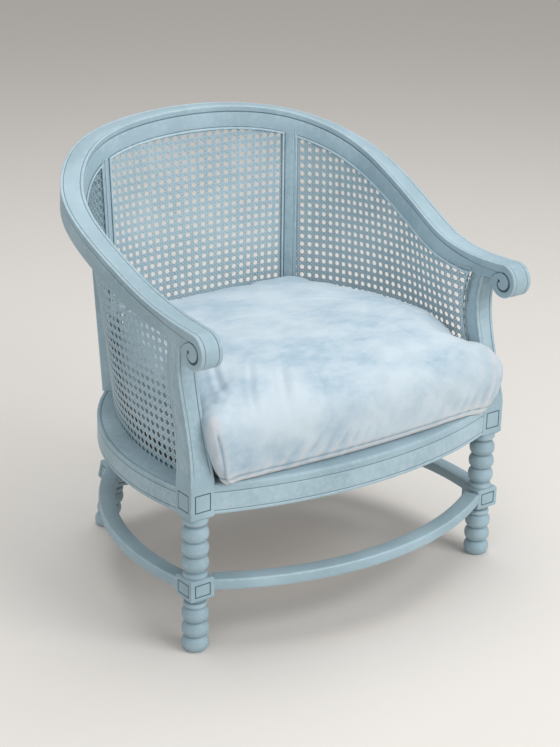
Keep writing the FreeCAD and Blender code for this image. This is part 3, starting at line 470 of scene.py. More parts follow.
@dataclass(frozen=True)
class Timber:
    """Beech or birch plywood, planed and left bare: dry, matt and lightly streaked."""

    name: str
    slot: Slot
    light: str = "#b99468"
    dark: str = "#8b6843"
    grain_mm: float = 25.0

    def make(self) -> bpy.types.Material:
        """Builds the material.

        Returns:
            The material, ready for a piece.
        """
        material, tree, place = surface(self.name)
        along = add(tree, "Mapping", {"Vector": place, "Scale": (0.12, 1, 1)})
        grain = add(tree, "TexNoise", {"Vector": along, "Scale": METRE / self.grain_mm,
                                       "Detail": 6.0})
        tone = add(tree, "MapRange", {0: grain, 1: 0.35, 2: 0.65})
        colour = add(tree, "Mix", {0: tone, 6: self.light, 7: self.dark}, 2, data_type="RGBA")
        rough = add(tree, "MapRange", {0: grain, 1: 0.3, 2: 0.7, 3: 0.55, 4: 0.75})
        dress(tree, {"Base Color": colour, "Roughness": rough}, (grain, 0.2), {"IOR": 1.5})
        return material


@dataclass(frozen=True)
class Steel:
    """Zinc-plated wood screw: fine dull crystals with a soft metal glint."""

    name: str
    slot: Slot
    crystal_mm: float = 3.0

    def make(self) -> bpy.types.Material:
        """Builds the material.

        Returns:
            The material, ready for a piece.
        """
        material, tree, place = surface(self.name)
        fine = add(tree, "TexNoise", {"Vector": place, "Scale": METRE / self.crystal_mm})
        colour = add(tree, "Mix", {0: fine, 6: "#8d8f8e", 7: "#b4b5b2"}, 2, data_type="RGBA")
        rough = add(tree, "MapRange", {0: fine, 1: 0.3, 2: 0.7, 3: 0.3, 4: 0.45})
        dress(tree, {"Base Color": colour, "Roughness": rough}, (fine, 0.05), {"Metallic": 0.9})
        return material


@dataclass(frozen=True)
class Velvet:
    """Stone-washed cotton velvet.

    The wash lays the nap down in cloudy patches of blue and near-white, streaks it along the
    creases and leaves it creamy on seams and lower edges. Very matt, with a soft sheen.
    """

    name: str
    slot: Slot
    blue: str = "#9cb3c2"
    pale: str = "#bdcbd4"
    cream: str = "#d3cdca"
    shade: str = "#77868f"
    patch_mm: float = 120.0
    streak_mm: float = 24.0
    pile_mm: float = 1.2

    def make(self) -> bpy.types.Material:
        """Builds the material.

        Returns:
            The material, ready for a piece.
        """
        material, tree, place = surface(self.name)
        wear_and_shading = add(tree, "Attribute", {}, "Fac", attribute_name=WEAR_AND_SHADING)
        turned = add(tree, "Mapping", {"Vector": place, "Rotation": (0, 0, 0.6),
                                       "Scale": (1.0, 1.7, 1.0)})
        wash = add(tree, "TexNoise", {"Vector": turned, "Scale": METRE / self.patch_mm,
                                      "Detail": 7.0, "Roughness": 0.6})
        across = add(tree, "Mapping", {"Vector": place, "Rotation": (0, 0, -0.5),
                                       "Scale": (1.0, 2.8, 1.4)})
        nap = add(tree, "TexNoise", {"Vector": across, "Scale": METRE / self.streak_mm,
                                     "Detail": 6.0, "Roughness": 0.7})
        pile = add(tree, "TexNoise", {"Vector": place, "Scale": METRE / self.pile_mm})
        tone = add(tree, "MapRange", {0: wash, 1: 0.38, 2: 0.60})
        colour = add(tree, "Mix", {0: tone, 6: self.blue, 7: self.pale}, 2, data_type="RGBA")
        streak = add(tree, "MapRange", {0: nap, 1: 0.42, 2: 0.68, 4: 0.55})
        colour = add(tree, "Mix", {0: streak, 6: colour, 7: self.pale}, 2, data_type="RGBA")
        edge = add(tree, "Math", {0: nap, 1: 0.5, 2: wear_and_shading}, operation="MULTIPLY_ADD")
        edge = add(tree, "MapRange", {0: edge, 1: 0.4, 2: 1.05, 4: 0.85})
        colour = add(tree, "Mix", {0: edge, 6: colour, 7: self.cream}, 2, data_type="RGBA")
        # Painted shade: creases, puckers and seams, where the value is below zero, take the shade
        # colour.
        dark = add(tree, "MapRange", {0: wear_and_shading, 1: -0.08, 2: -0.8, 4: 0.6})
        colour = add(tree, "Mix", {0: dark, 6: colour, 7: self.shade}, 2, data_type="RGBA")
        relief = add(tree, "Math", {0: pile, 1: 0.4, 2: nap}, operation="MULTIPLY_ADD")
        rough = add(tree, "MapRange", {0: nap, 1: 0.3, 2: 0.7, 3: 0.82, 4: 0.95})
        dress(tree, {"Base Color": colour, "Roughness": rough}, (relief, 0.7),
              {"Sheen Weight": 0.2, "Sheen Roughness": 0.5, "Specular IOR Level": 0.15})
        return material


@dataclass(frozen=True)
class Finish:
    """A finish's material together with its slot."""

    material: bpy.types.Material
    slot: Slot

    @classmethod
    def of(cls, kind: Paint | Timber | Steel | Velvet) -> "Finish":
        """Makes the material once for a finish."""
        return cls(kind.make(), kind.slot)


@dataclass
class Rail:
    """The top rail: its line from scroll to scroll and its moulded section."""

    width: float = 36.8
    deep: float = 36.0
    lean: float = 4.5
    slab: float = 8.5
    front_y: float = -31.8
    run_back: float = 485.2
    arm_top: float = 532.8
    crest_rise: float = 199.9
    scroll_from: float = 0.84
    thins_from: float = 0.72
    thins_by: float = 8.0
    crest: float = 0.2125
    half_span: float = 289.7
    x_shares: Row = (0.0, 0.5692, 0.8889, 1.0, 0.9914, 0.9624, 0.9820)
    y_shares: Row = (1.0, 0.9656, 0.8322, 0.6760, 0.4604, 0.2706, 0.0)
    z_shares: Row = (1.0, 0.9200, 0.7279, 0.4882, 0.2291, 0.0525, 0.0)

    def __post_init__(self) -> None:
        """Lays the line's points from the left scroll to the right one."""
        x, y, z = (np.array(row) for row in (self.x_shares, self.y_shares, self.z_shares))
        half = np.stack([self.half_span * x, self.front_y + self.run_back * y,
                         self.arm_top + self.crest_rise * z], -1)
        self.rows = np.vstack([half[:0:-1] * np.array([-1, 1, 1]), half])
        self.knots = np.linspace(-1, 1, len(self.rows))

    def near(self, share: Array) -> Array:
        """How near the scroll a share lies: 0 along the rail, 1 at the scroll."""
        return ease((np.abs(share) - self.scroll_from) / (1 - self.scroll_from))

    def frame(self, share: Array) -> tuple[Array, Array, Array]:
        """Point, level direction outwards and direction down the face, at each share.

        Args:
            share: Places from -1 at the left scroll to 1 at the right one.

        Returns:
            Three arrays of shape (n, 3). The last part turns square to the scroll's drum.
        """
        share, gap = np.asarray(share, float), 1e-4
        ahead = smooth_line(self.knots, self.rows, np.minimum(share + gap, 1))
        behind = smooth_line(self.knots, self.rows, np.maximum(share - gap, -1))
        near = self.near(share)[:, None]
        straight = np.sign(share)[:, None] * np.array([0, -1.0, 0])
        along = unit(unit(ahead - behind) * (1 - near) + straight * near)
        out = unit(np.stack([-along[:, 1], along[:, 0], np.zeros(len(share))], -1))
        return smooth_line(self.knots, self.rows, share), out, np.cross(out, along)

    def depth(self, share: Array) -> Array:
        """Depth of the section, which thins to the scroll's radius along the arm."""
        return self.deep - self.thins_by * np.maximum(
            0, (np.abs(share) - self.thins_from) / (1 - self.thins_from))

    def at(self, share: Array, outwards: Array | float, downwards: Array | float) -> Array:
        """Points at distances outwards and down the face from the line.

        Args:
            share: Places along the rail.
            outwards: Distance outwards at each.
            downwards: Distance down the face at each.

        Returns:
            Points of shape (n, 3).
        """
        point, out, down = self.frame(share)
        outwards, downwards = (np.broadcast_to(v, len(point))[:, None]
                               for v in (outwards, downwards))
        return point + out * outwards + down * downwards

    def crown(self, near: float) -> list[Row]:
        """Corners across the top: a rolled bead with its line, a low crown, and the same again.

        Args:
            near: Nearness to the scroll, where the beads are wider.

        Returns:
            Rows of (outwards, downwards, radius).
        """
        bead, cut = 5.0 + 1.9 * near, 1.5 + 0.3 * near
        half = [(0, -0.6 * near, 3.6), (bead - 0.8, 0.1, 1.3), (bead, cut, 0.3),
                (bead + 1.3, 0.1, 1.0)]
        spread = [(self.width / 2 + (a - self.width / 2) * (1 + 1.2 * near / self.width), d, r)
                  for a, d, r in half]
        return spread + [(self.width / 2, -0.4, 8.0)] + [(self.width - a, d, r)
                                                         for a, d, r in reversed(spread)]

    def section(self, share: float) -> tuple[Array, Array]:
        """Moulded section, with a slab above a recess on both sides.

        Args:
            share: Place along the rail.

        Returns:
            Points as (outwards, downwards), and their wear and painted shading.
        """
        depth, near = float(self.depth(np.array([share]))[0]), float(self.near(share))
        lean = self.lean * depth / self.deep * (1 - near)
        slab, edge = self.slab + 4.0 * near, -0.6 * near
        inner, outer = ([(edge, slab, 1.6), (edge + 2.6, slab + 1.6, 0.5), (low, slab + 3.2, 1.4)]
                        for low in (2.6 * near, 0.7 * near))
        corners = self.crown(near) + [(self.width - a, d, r) for a, d, r in outer]
        corners += [(self.width - 0.7 * near, depth, 2.6), (2.6 * near - lean, depth, 2.6)]
        return rounded(corners + inner[::-1])

    def length(self, start: float, end: float, count: int) -> Shape:
        """Sweeps a length of the rail.

        Args:
            start: Share at which it starts.
            end: Share at which it ends.
            count: Number of sections.

        Returns:
            The closed shape.
        """
        shares = np.linspace(start, end, count)
        point, out, down = self.frame(shares)
        flat, wear_and_shading_rows = (np.array(part) for part in zip(*(self.section(s) for s in shares)))
        sections = point[:, None] + out[:, None] * flat[..., :1] + down[:, None] * flat[..., 1:]
        shape = Shape()
        shape.sweep(sections, wear_and_shading_rows)
        return shape


@dataclass
class Scroll:
    """The drum at the arm's front, with the rail's beads round it and a volute in both sides."""

    rail: Rail
    radius: float = 28.0
    segments: int = 160
    rings: int = 38
    sink: float = 3.5
    line_turns: Row = (0, 0.10, 0.20, 0.32, 0.46, 0.56, 0.63, 0.67, 0.70, 0.73)
    line_radii: Row = (13.9, 14.0, 15.4, 16.4, 16.8, 16.2, 14.6, 12.7, 10.4, 8.6)
    groove_deep: float = 3.2
    groove_turns: Row = (0, 0.15, 0.3, 0.45, 0.7)
    groove_halves: Row = (1.6, 2.1, 2.9, 2.3, 1.5)
    groove_end: float = 0.73
    eye: Row = (8.6, -1.4, 2.3)
    eye_deep: float = 4.0
    arm_from: float = 0.72
    arm_turns: Row = (0.72, 0.79, 0.867, 0.955, 1.0)
    arm_radii: Row = (30.0, 22.6, 16.8, 15.0, 14.6)
    proud: float = 0.6

    def volute(self, radius: Array, turn: Array) -> tuple[Array, Array, Array]:
        """Depth of the spiral groove and its eye, and of the part hidden in the arm.

        Args:
            radius: Distance from the centre.
            turn: Turns travelled from the top over the front, 0 to 1.

        Returns:
            Depth of the cut, share of the sink and painted shade of the crease to the arm.
        """
        line = np.interp(turn, self.line_turns, self.line_radii)
        reach = np.interp(turn, [0, self.groove_end, self.groove_end + 0.03], [1, 1, 0])
        wide = np.interp(turn, self.groove_turns, self.groove_halves)
        groove = self.groove_deep * np.clip(1 - np.abs(radius - line) / wide, 0, 1) ** 0.8 * reach
        aim = 2 * np.pi * turn
        back, up, size = self.eye
        dot = np.hypot(-radius * np.sin(aim) - back, radius * np.cos(aim) - up)
        edge = np.interp(turn, self.arm_turns, self.arm_radii)
        behind = turn > self.arm_from
        crease = np.where(behind, np.exp(-((radius - edge) / 1.1) ** 2), 0)
        return (np.maximum(groove, self.eye_deep * np.exp(-(dot / size) ** 4)),
                np.where(behind, ease((radius - edge) / 1.4), 0), crease)

    def add_to(self, shape: Shape) -> None:
        """Adds the drum: each side face runs out from the axis, and the crown joins the two.

        Args:
            shape: Shape of the arm.
        """
        wide, proud = self.rail.width, self.proud
        corners = [(-proud, self.radius / 2, 0)] + self.rail.crown(1.0)
        corners += [(wide + proud, self.radius / 2, 0)]
        flat, wear_and_shading = (part[1:-1] for part in rounded(corners))
        face = np.linspace(0, self.radius - flat[0, 1], self.rings)[:-1]
        still = np.ones(len(face))
        radius = np.concatenate([face, self.radius - flat[:, 1], face[::-1]])
        across = np.concatenate([still * -proud, flat[:, 0], still * (wide + proud)])
        way = np.concatenate([still, np.where(flat[:, 0] < wide / 2, 1, -1), -still])
        flat_face = np.concatenate([still, 0 * flat[:, 0], still])
        turn = np.linspace(0, 1, self.segments, endpoint=False)[:, None]
        cut, hidden, crease = self.volute(radius[None], turn)
        x = self.rail.half_span * self.rail.x_shares[-1] + across
        x = x + way * (cut * flat_face + self.sink * hidden)
        reach, aim = radius[None] - 1.2 * hidden, 2 * np.pi * turn
        points = np.stack([x, self.rail.front_y - reach * np.sin(aim),
                           self.rail.arm_top - self.radius + reach * np.cos(aim)], -1)
        worn_and_shaded = np.concatenate([0 * face, wear_and_shading, 0 * face])
        # The volute's groove and the crease to the arm carry painted shade.
        shape.grid(points, worn_and_shaded - np.clip(cut / 1.8, 0, 1) * flat_face - crease, wrap_u=True)


@dataclass
class Turning:
    """Bobbin turnings shared by the front and rear legs."""

    pitch: float = 25.0
    bead: float = 21.5
    waist: float = 15.4
    count: int = 3
    upper: float = 137.0
    neck: tuple[Row, ...] = ((15.4, 75), (17.8, 77), (18.6, 80), (17.4, 83), (15.6, 84.6),
                             (16, 87), (18, 90), (20.6, 92.8))
    ring: tuple[Row, ...] = ((18.4, 126), (19.2, 128), (19.3, 130.5), (18, 133), (15.9, 134.8),
                             (15.4, 137))
    collar: tuple[Row, ...] = ((15.4, 212), (15.8, 214), (17.8, 216.4), (19.8, 218.6),
                               (20.4, 221.5), (20.2, 224.4), (19.4, 228))
    foot: Row = (13.5, 0, 0.2)
    block: Row = (92, 127)
    block_frame: Row = (98.6, 120.4)

    def bobbins(self, base: float) -> Array:
        """Rows of (radius, height, wear and painted shading) for the beads above a height.

        A bead's radius is waist + (bead - waist) * (1 - |t| ** 2.5), where t runs from -1 to 1
        over its height, so that its middle is a little flat and its waists are soft.

        Args:
            base: Height of the lowest waist.

        Returns:
            The rows from the foot up.
        """
        t = -np.cos(np.linspace(0, np.pi, 13))
        radius = self.waist + (self.bead - self.waist) * (1 - np.abs(t) ** 2.5)
        # Wear with a painted highlight on each bead's middle, and painted shade in its waists.
        wear_and_shading = 0.3 * np.exp(-(t / 0.45) ** 2) - 0.42 * np.abs(t) ** 10
        return np.vstack([np.stack([radius, base + self.pitch * (i + 0.5 + t / 2), wear_and_shading], -1)
                          for i in range(self.count)])

    @staticmethod
    def curve(points: tuple[Row, ...], steps: int = 20) -> Array:
        """Smooth profile through a few points.

        Args:
            points: Rows of (radius, height).
            steps: Number of rows that come back.

        Returns:
            Rows of (radius, height, wear and painted shading), dark with painted shade in the
            hollows and pale on the beads from rubbing and a painted highlight.
        """
        points = np.asarray(points, float)
        run = np.linalg.norm(np.diff(points, axis=0), axis=1)
        place = np.concatenate([[0], np.cumsum(run)])
        rows = smooth_line(place, points, np.linspace(0, place[-1], steps))
        bend = np.gradient(np.gradient(rows[:, 0]))
        return np.column_stack([rows, np.clip(-bend * 2, -0.6, 0.4)])

    def leg(self) -> Shape:
        """Turned leg about the upright axis, with its stretcher block.

        Returns:
            The shape from the floor to the collar.
        """
        shape = Shape()
        shape.lathe(np.vstack([[self.foot], self.bobbins(0), self.curve(self.neck)]))
        shape.lathe(np.vstack([self.curve(self.ring, 16), self.bobbins(self.upper),
                               self.curve(self.collar, 16)]))
        shape.block(*self.block, (1.8, 1.8), framed=self.block_frame)
        return shape


@dataclass
class FrontPost:
    """Front leg, joint block and swept arm post in one length.

    Each row of the table holds the level, sway forwards, spread outwards, narrowing and
    thinning, as shares of their greatest value.
    """

    turning: Turning
    rows: tuple[Row, ...] = (
        (0.00, 0.00, 0.00, 0.00, 0.00), (0.11, 0.09, 0.00, 0.46, 0.10),
        (0.23, 0.28, 0.00, 0.82, 0.20), (0.35, 0.48, 0.00, 0.98, 0.34),
        (0.47, 0.68, 0.02, 1.00, 0.44), (0.59, 0.87, 0.08, 0.92, 0.54),
        (0.71, 0.99, 0.25, 0.90, 0.68), (0.83, 0.99, 0.56, 0.98, 0.81),
        (0.93, 0.89, 0.82, 1.08, 0.93), (1.03, 0.78, 1.00, 1.15, 1.00))
    base: float = 286.0
    tall: float = 227.8
    sway: float = 38.0
    spread: float = 5.0
    narrow: float = 5.25
    thin: float = 15.0
    joint: float = 226.5
    joint_frame: Row = (240.5, 270.5)

    def track(self, level: Array) -> tuple[Array, Array, Array, Array]:
        """Size and place of the post on the way up.

        Args:
            level: Levels from 0 at the block to 1.03 inside the rail.

        Returns:
            Centre x, front y, back y and half width at each level.
        """
        table = np.array(self.rows)
        sway, spread, narrow, thin = smooth_line(table[:, 0], table[:, 1:], level).T
        front = self.sway * sway - HALF_BLOCK
        back = front + 2 * HALF_BLOCK - self.thin * thin
        return self.spread * spread, front, back, HALF_BLOCK - self.narrow * narrow

    def back_y(self, height: Array) -> Array:
        """Rear face of the post at heights above the floor."""
        level = np.clip((np.asarray(height, float) - self.base) / self.tall, 0, 1.03)
        return self.track(level)[2]

    def section(self, f: float, b: float, h: float, fade: float) -> tuple[Array, Array]:
        """Section with a bead at both edges of the front and lines near the sides' edges.

        Args:
            f: Front y.
            b: Rear y.
            h: Half width.
            fade: 0 at the block, where it is a plain square, to 1 above.

        Returns:
            Points and wear of the section.
        """
        cut, rise = 1.9 * fade, 0.9 * fade
        side = [(h, f, 2.2), (h, f + 6.0, 0.6), (h - 1.3 * fade, f + 7.0, 0.3),
                (h - 0.3 * fade, f + 8.2, 0.5), (h - 0.3 * fade, b - 7.2, 0.3),
                (h - 1.4 * fade, b - 6.4, 0.2), (h, b - 5.4, 0.4), (h, b, 1.8)]
        face = [(h - 6.8, f + rise, 0.6), (h - 5.4, f + cut, 0.3), (h - 4.4, f + 0.2 * fade, 0.9)]
        corners = [(-x, y, r) for x, y, r in reversed(face)] + face + side
        return rounded(corners + [(-x, y, r) for x, y, r in reversed(side)])

    def shape(self) -> Shape:
        """Leg, joint block and swept arm post of the right side.

        Returns:
            The shape at its place in the chair.
        """
        shape = self.turning.leg()
        shape.block(self.joint, self.base, (4.2, 0), framed=self.joint_frame)
        level = np.linspace(0, 1.0, 64)
        centre, front, back, half = self.track(level)
        fades = ease((level - 0.015) / 0.11)
        flat, wear_and_shading = (np.array(part) for part in zip(*map(self.section, front, back, half, fades)))
        flat[..., 0] += centre[:, None]
        z = np.broadcast_to((self.base + self.tall * level)[:, None, None], (*flat.shape[:2], 1))
        shape.sweep(np.concatenate([flat, z], axis=-1), wear_and_shading)
        shape.move(np.eye(3), (LEG_X, 0, 0), 0, 1e3)
        return shape


@dataclass
class RearLeg:
    """Rear leg, the same turning on a raked axis."""

    turning: Turning
    foot: Row = (180.0, 460.0, 0.0)
    head: Row = (158.0, 417.0, RING_BASE)
    joint: Row = (226.5, 240.0)
    sunk: float = 3.5

    def axis(self) -> Array:
        """Direction of the leg upwards."""
        return unit(np.array(self.head) - np.array(self.foot))

    def block_centre(self) -> Array:
        """Middle of the axis at the stretchers' height."""
        return np.array(self.foot) + self.axis() * (STRETCHER_LEVEL / self.axis()[2])

    def shape(self) -> Shape:
        """Turned leg laid on the raked axis and trimmed by the floor and the ledge.

        Returns:
            The right rear leg.
        """
        shape = self.turning.leg()
        turn = Vector((0, 0, 1)).rotation_difference(Vector(self.axis().tolist()))
        shape.block(*self.joint, (4.2, 0))
        shape.move(np.array(turn.to_matrix()), np.array(self.foot) - self.axis() * self.sunk, 0.0,
                   RING_BASE + 3)
        return shape


def arc(centre: Row, radius: float, start: float, end: float, count: int) -> tuple[Array, Array]:
    """Arc in plan.

    Args:
        centre: Middle of the circle.
        radius: Its radius.
        start: First angle in degrees.
        end: Last angle in degrees.
        count: Number of points.

    Returns:
        Plan points and outward directions.
    """
    aim = np.radians(np.linspace(start, end, count))
    out = np.stack([np.cos(aim), np.sin(aim)], -1)
    return np.asarray(centre) + radius * out, out


def swept_bar(path: Array, out: Array, corners: list[Row]) -> Shape:
    """Carries a section along plan points.

    Args:
        path: Plan points.
        out: Outward direction at each.
        corners: Rows of (outwards, height, radius).

    Returns:
        The closed shape.
    """
    flat, wear_and_shading = rounded(corners)
    plan = path[:, None] + out[:, None] * flat[None, :, :1]
    z = np.broadcast_to(flat[None, :, 1:], (*plan.shape[:2], 1))
    shape = Shape()
    shape.sweep(np.concatenate([plan, z], axis=-1), wear_and_shading)
    return shape


@dataclass
class SeatRing:
    """Broad ledge of three moulded rails, and the bowed front rail."""

    side_centre: Row = (-114.5, 115.0)
    side_radius: float = 440.0
    corner_radius: float = 72.0
    back_centre: Row = (0.0, -444.0)
    back_radius: float = 900.0
    wide: float = 58.0
    front_top: float = 281.0
    front_apex: float = -71.0
    front_rise: float = 50.0
    front_wide: float = 39.0

    def __post_init__(self) -> None:
        """Finds the corner arc that touches the side arc and the back arc from inside."""
        side, back = np.array(self.side_centre), np.array(self.back_centre)
        side_gap = self.side_radius - self.corner_radius
        back_gap = self.back_radius - self.corner_radius
        span = np.linalg.norm(back - side)
        along = (side_gap ** 2 - back_gap ** 2 + span ** 2) / (2 * span)
        run = (back - side) / span
        across = math.sqrt(side_gap ** 2 - along ** 2)
        self.corner = side + run * along + np.array([-run[1], run[0]]) * across
        self.side_end = math.degrees(math.atan2(*(self.corner - side)[::-1]))
        self.back_start = math.degrees(math.atan2(*(self.corner - back)[::-1]))

    def section(self) -> list[Row]:
        """Ledge with an edge bead and line, a plain face and a foot bead.

        Returns:
            Rows of (outwards, height, radius).
        """
        base, top, wide = RING_BASE, RING_TOP, self.wide
        return [(-wide, base, 0.6), (0, base, 1.8), (0, base + 4.6, 1.2),
                (-1.6, base + 5.8, 0.3), (-0.2, base + 7.0, 0.5), (-0.2, top - 9.0, 0.5),
                (-1.6, top - 7.8, 0.3), (0, top - 6.4, 1.4), (0, top, 3.2), (-5.4, top, 1.0),
                (-6.8, top - 1.7, 0.3), (-8.2, top, 0.6), (-wide, top, 0.6)]

    def side(self) -> Shape:
        """Right side rail from the front block to its joint.

        Returns:
            The closed shape.
        """
        start = math.degrees(math.asin((HALF_BLOCK - 1 - self.side_centre[1]) / self.side_radius))
        path, out = arc(self.side_centre, self.side_radius, start, self.side_end, 60)
        return swept_bar(path, out, self.section())

    def back(self) -> Shape:
        """Back rail with both its corners.

        Returns:
            The closed shape.
        """
        corner = arc(self.corner, self.corner_radius, self.side_end, self.back_start, 28)
        middle = arc(self.back_centre, self.back_radius, self.back_start, 90, 20)
        path = np.vstack([corner[0], middle[0][1:]])
        out = np.vstack([corner[1], middle[1][1:]])
        flip = np.array([-1, 1])
        return swept_bar(np.vstack([path, path[-2::-1] * flip]),
                         np.vstack([out, out[-2::-1] * flip]), self.section())

    def front(self) -> Shape:
        """Bowed rail with a full rounded top edge.

        Returns:
            The closed shape.
        """
        reach, rise = LEG_X - HALF_BLOCK, self.front_rise
        radius = (reach ** 2 + rise ** 2) / (2 * rise)
        half = math.degrees(math.asin((reach + 1.5) / radius))
        path, out = arc((0, self.front_apex + radius), radius, 270 - half, 270 + half, 60)
        top, base, wide = self.front_top, RING_BASE, self.front_wide
        return swept_bar(path, out, [
            (-wide, base, 0.6), (0, base, 2.0), (0, base + 4.4, 1.2), (-1.7, base + 5.8, 0.3),
            (-0.2, base + 7.2, 0.5), (-0.2, top - 15.2, 0.5), (-1.8, top - 13.6, 0.3),
            (0, top - 11.8, 1.0), (0, top, 9.0), (-wide, top, 1.0)])


@dataclass
class Stretchers:
    """Flat bars with eased edges that bow between the legs."""

    top: float = 121.5
    base: float = 103.0
    wide: float = 27.5
    eased: float = 3.2
    front_apex: float = -97.5
    front_rise: float = 76.0
    side_centre: Row = (-144.5, 108.0)
    side_radius: float = 470.0
    back_radius: float = 700.0
    tenon: float = 3.0

    def bar(self, path: Array, out: Array) -> Shape:
        """Sweeps the bar's section, which is measured from its outer face.

        Args:
            path: Plan points of the outer face.
            out: Outward direction at each.

        Returns:
            The closed shape.
        """
        wide, base, top, eased = self.wide, self.base, self.top, self.eased
        return swept_bar(path, out, [(-wide, base, eased), (0, base, eased), (0, top, eased),
                                     (-wide, top, eased)])

    def front(self) -> Shape:
        """Bar between the front blocks.

        Returns:
            The closed shape.
        """
        reach, rise = LEG_X - HALF_BLOCK, self.front_rise
        radius = (reach ** 2 + rise ** 2) / (2 * rise)
        half = math.degrees(math.asin((reach + self.tenon) / radius))
        return self.bar(*arc((0, self.front_apex + radius), radius, 270 - half, 270 + half, 56))

    def side(self, leg: RearLeg) -> Shape:
        """Right bar from the front block into the rear block.

        Args:
            leg: The right rear leg.

        Returns:
            The closed shape.
        """
        line, middle = self.side_radius - self.wide / 2, self.side_centre[1]
        start = math.degrees(math.asin((HALF_BLOCK - self.tenon - middle) / line))
        end = math.degrees(math.asin((leg.block_centre()[1] - HALF_BLOCK - middle) / line))
        return self.bar(*arc(self.side_centre, self.side_radius, start, end + 1.2, 48))

    def back(self, leg: RearLeg) -> Shape:
        """Bar between the rear blocks.

        Args:
            leg: The right rear leg.

        Returns:
            The closed shape.
        """
        block, radius = leg.block_centre(), self.back_radius
        centre = block[1] + self.wide / 2 - math.sqrt(radius ** 2 - block[0] ** 2)
        half = math.degrees(math.asin((block[0] - HALF_BLOCK + self.tenon + 1) / radius))
        return self.bar(*arc((0, centre), radius, 90 + half, 90 - half, 32))


@dataclass
class RearPost:
    """Leaning post set diagonally between the ledge and the top rail."""

    foot: Row = (179.5, 408.0, RING_TOP)
    head: Row = (187.5, 423.0, 673.0)
    turn: float = math.radians(50)
    half: float = 10.0
    strip: float = 7.5
    depths: Row = (27.0, 37.0)
    ends: Row = (285.0, 677.0)

    def across(self) -> Array:
        """Level direction along the post's width, towards the side panel."""
        return np.array([math.sin(self.turn), -math.cos(self.turn), 0])

    def line(self, height: Array) -> Array:
        """Middle of the inner face.

        Args:
            height: Heights above the floor.

        Returns:
            Points of shape (n, 3).
        """
        foot, head = np.array(self.foot), np.array(self.head)
        share = (np.asarray(height, float) - RING_TOP) / (head[2] - RING_TOP)
        return foot + (head - foot) * share[:, None]

    def shape(self) -> Shape:
        """The right rear post with its raised inner strip.

        Returns:
            The closed shape.
        """
        out = np.array([math.cos(self.turn), math.sin(self.turn), 0])
        half, strip = self.half, self.strip
        heights = np.concatenate([[RING_TOP, RING_TOP + 4], np.linspace(*self.ends, 30)])
        depth = np.interp(heights, (RING_TOP, self.head[2]), self.depths)
        parts = [rounded([(-half, 0, 0.6), (-strip, 0, 0.3), (-strip, -2, 0.9), (strip, -2, 0.9),
                          (strip, 0, 0.3), (half, 0, 0.6), (half, d, 2.0), (-half, d, 2.0)])
                 for d in depth]
        flat, wear_and_shading = (np.array(part) for part in zip(*parts))
        shape = Shape()
        shape.sweep(self.line(heights)[:, None] + self.across() * flat[..., :1]
                    + out * flat[..., 1:], wear_and_shading)
        return shape


class CaneSurface:
    """Curved, leaning surface of one cane panel, measured along its foot and up its slope."""

    def __init__(self, foot: Array, head: Array, normal: Array) -> None:
        """Keeps the surface.

        Args:
            foot: Points of the foot line.
            head: Points of the head line, one for each foot point.
            normal: Outward directions, one for each foot point.
        """
        self.foot, self.normal = foot, normal
        self.tall = np.linalg.norm(head - foot, axis=1)
        self.slope = (head - foot) / self.tall[:, None]
        steps = np.linalg.norm(np.diff(foot, axis=0), axis=1)
        self.along = np.concatenate([[0], np.cumsum(steps)])

    def read(self, table: Array, u: Array) -> Array:
        """Rows of a table at distances along the foot."""
        return np.stack([np.interp(u, self.along, column) for column in table.T], -1)

    def point(self, u: Array, h: Array, out: Array | float) -> tuple[Array, Array]:
        """Points on or beside the surface.

        Args:
            u: Distances along the foot.
            h: Heights up the slope.
            out: Distance outwards.

        Returns:
            Points and outward directions, both of shape (n, 3).
        """
        normal = unit(self.read(self.normal, u))
        return (self.read(self.foot, u) + self.read(self.slope, u) * h[:, None]
                + normal * np.asarray(out, float).reshape(-1, 1)), normal

    def height(self, u: Array) -> Array:
        """Height of the panel at distances along the foot."""
        return np.interp(u, self.along, self.tall)

    def meet(self, u: Array, h: Array, rear: RearPost, side: float) -> Array:
        """Distances along the foot where the surface meets one side of the rear post.

        Args:
            u: First guess.
            h: Heights up the slope.
            rear: The right rear post.
            side: Signed half width of the post on this side.

        Returns:
            Distances, found by stepping along by what is left to the post's side.
        """
        for _ in range(14):
            point, _ = self.point(u, h, 0)
            gap = (point - rear.line(point[:, 2])) @ rear.across() - side
            u = np.clip(u + gap, 0, self.along[-1])
        return u


class SideCane(CaneSurface):
    """Right side panel between the front post and the rear post, its foot on an arc."""

    radius: float = 525.0
    centre: Row = (-241.5, 105.0)
    first_y: float = 5.0
    sunk: float = 3.2

    def __init__(self, rail: Rail, front: FrontPost, rear: RearPost) -> None:
        """Rules the surface from the ledge to the rail, a little past the rear post.

        Args:
            rail: The top rail.
            front: The right front post.
            rear: The right rear post.
        """
        self.front, self.rear = front, rear
        share = np.linspace(0, 1.2, 260)
        y = self.first_y + (rear.foot[1] - self.first_y) * share
        x = self.centre[0] + np.sqrt(self.radius ** 2 - (y - self.centre[1]) ** 2)
        search = np.linspace(1, 2 * rail.crest, 600)
        start = np.interp(30, smooth_line(rail.knots, rail.rows, search)[:, 1], search)
        along = start * (1 - share) + rail.crest * share
        slope = (y - self.centre[1]) / self.radius
        super().__init__(np.stack([x, y, np.full(len(y), RING_TOP)], -1),
                         rail.at(along, 1.5 - rail.lean, rail.depth(along) - 3),
                         np.stack([np.sqrt(1 - slope ** 2), slope, np.zeros(len(y))], -1))

    def edges(self, h: Array) -> tuple[Array, Array]:
        """Where the panel meets the posts.

        Args:
            h: Heights up the slope.

        Returns:
            Distances along the foot at the front post and at the rear post.
        """
        front = np.zeros(len(h)) + 10.0
        for _ in range(12):
            point, _ = self.point(front, h, 0)
            front = front + (self.front.back_y(point[:, 2]) - self.sunk - point[:, 1])
        return front, self.meet(np.full(len(h), self.along[-1] - 60), h, self.rear, self.rear.half)


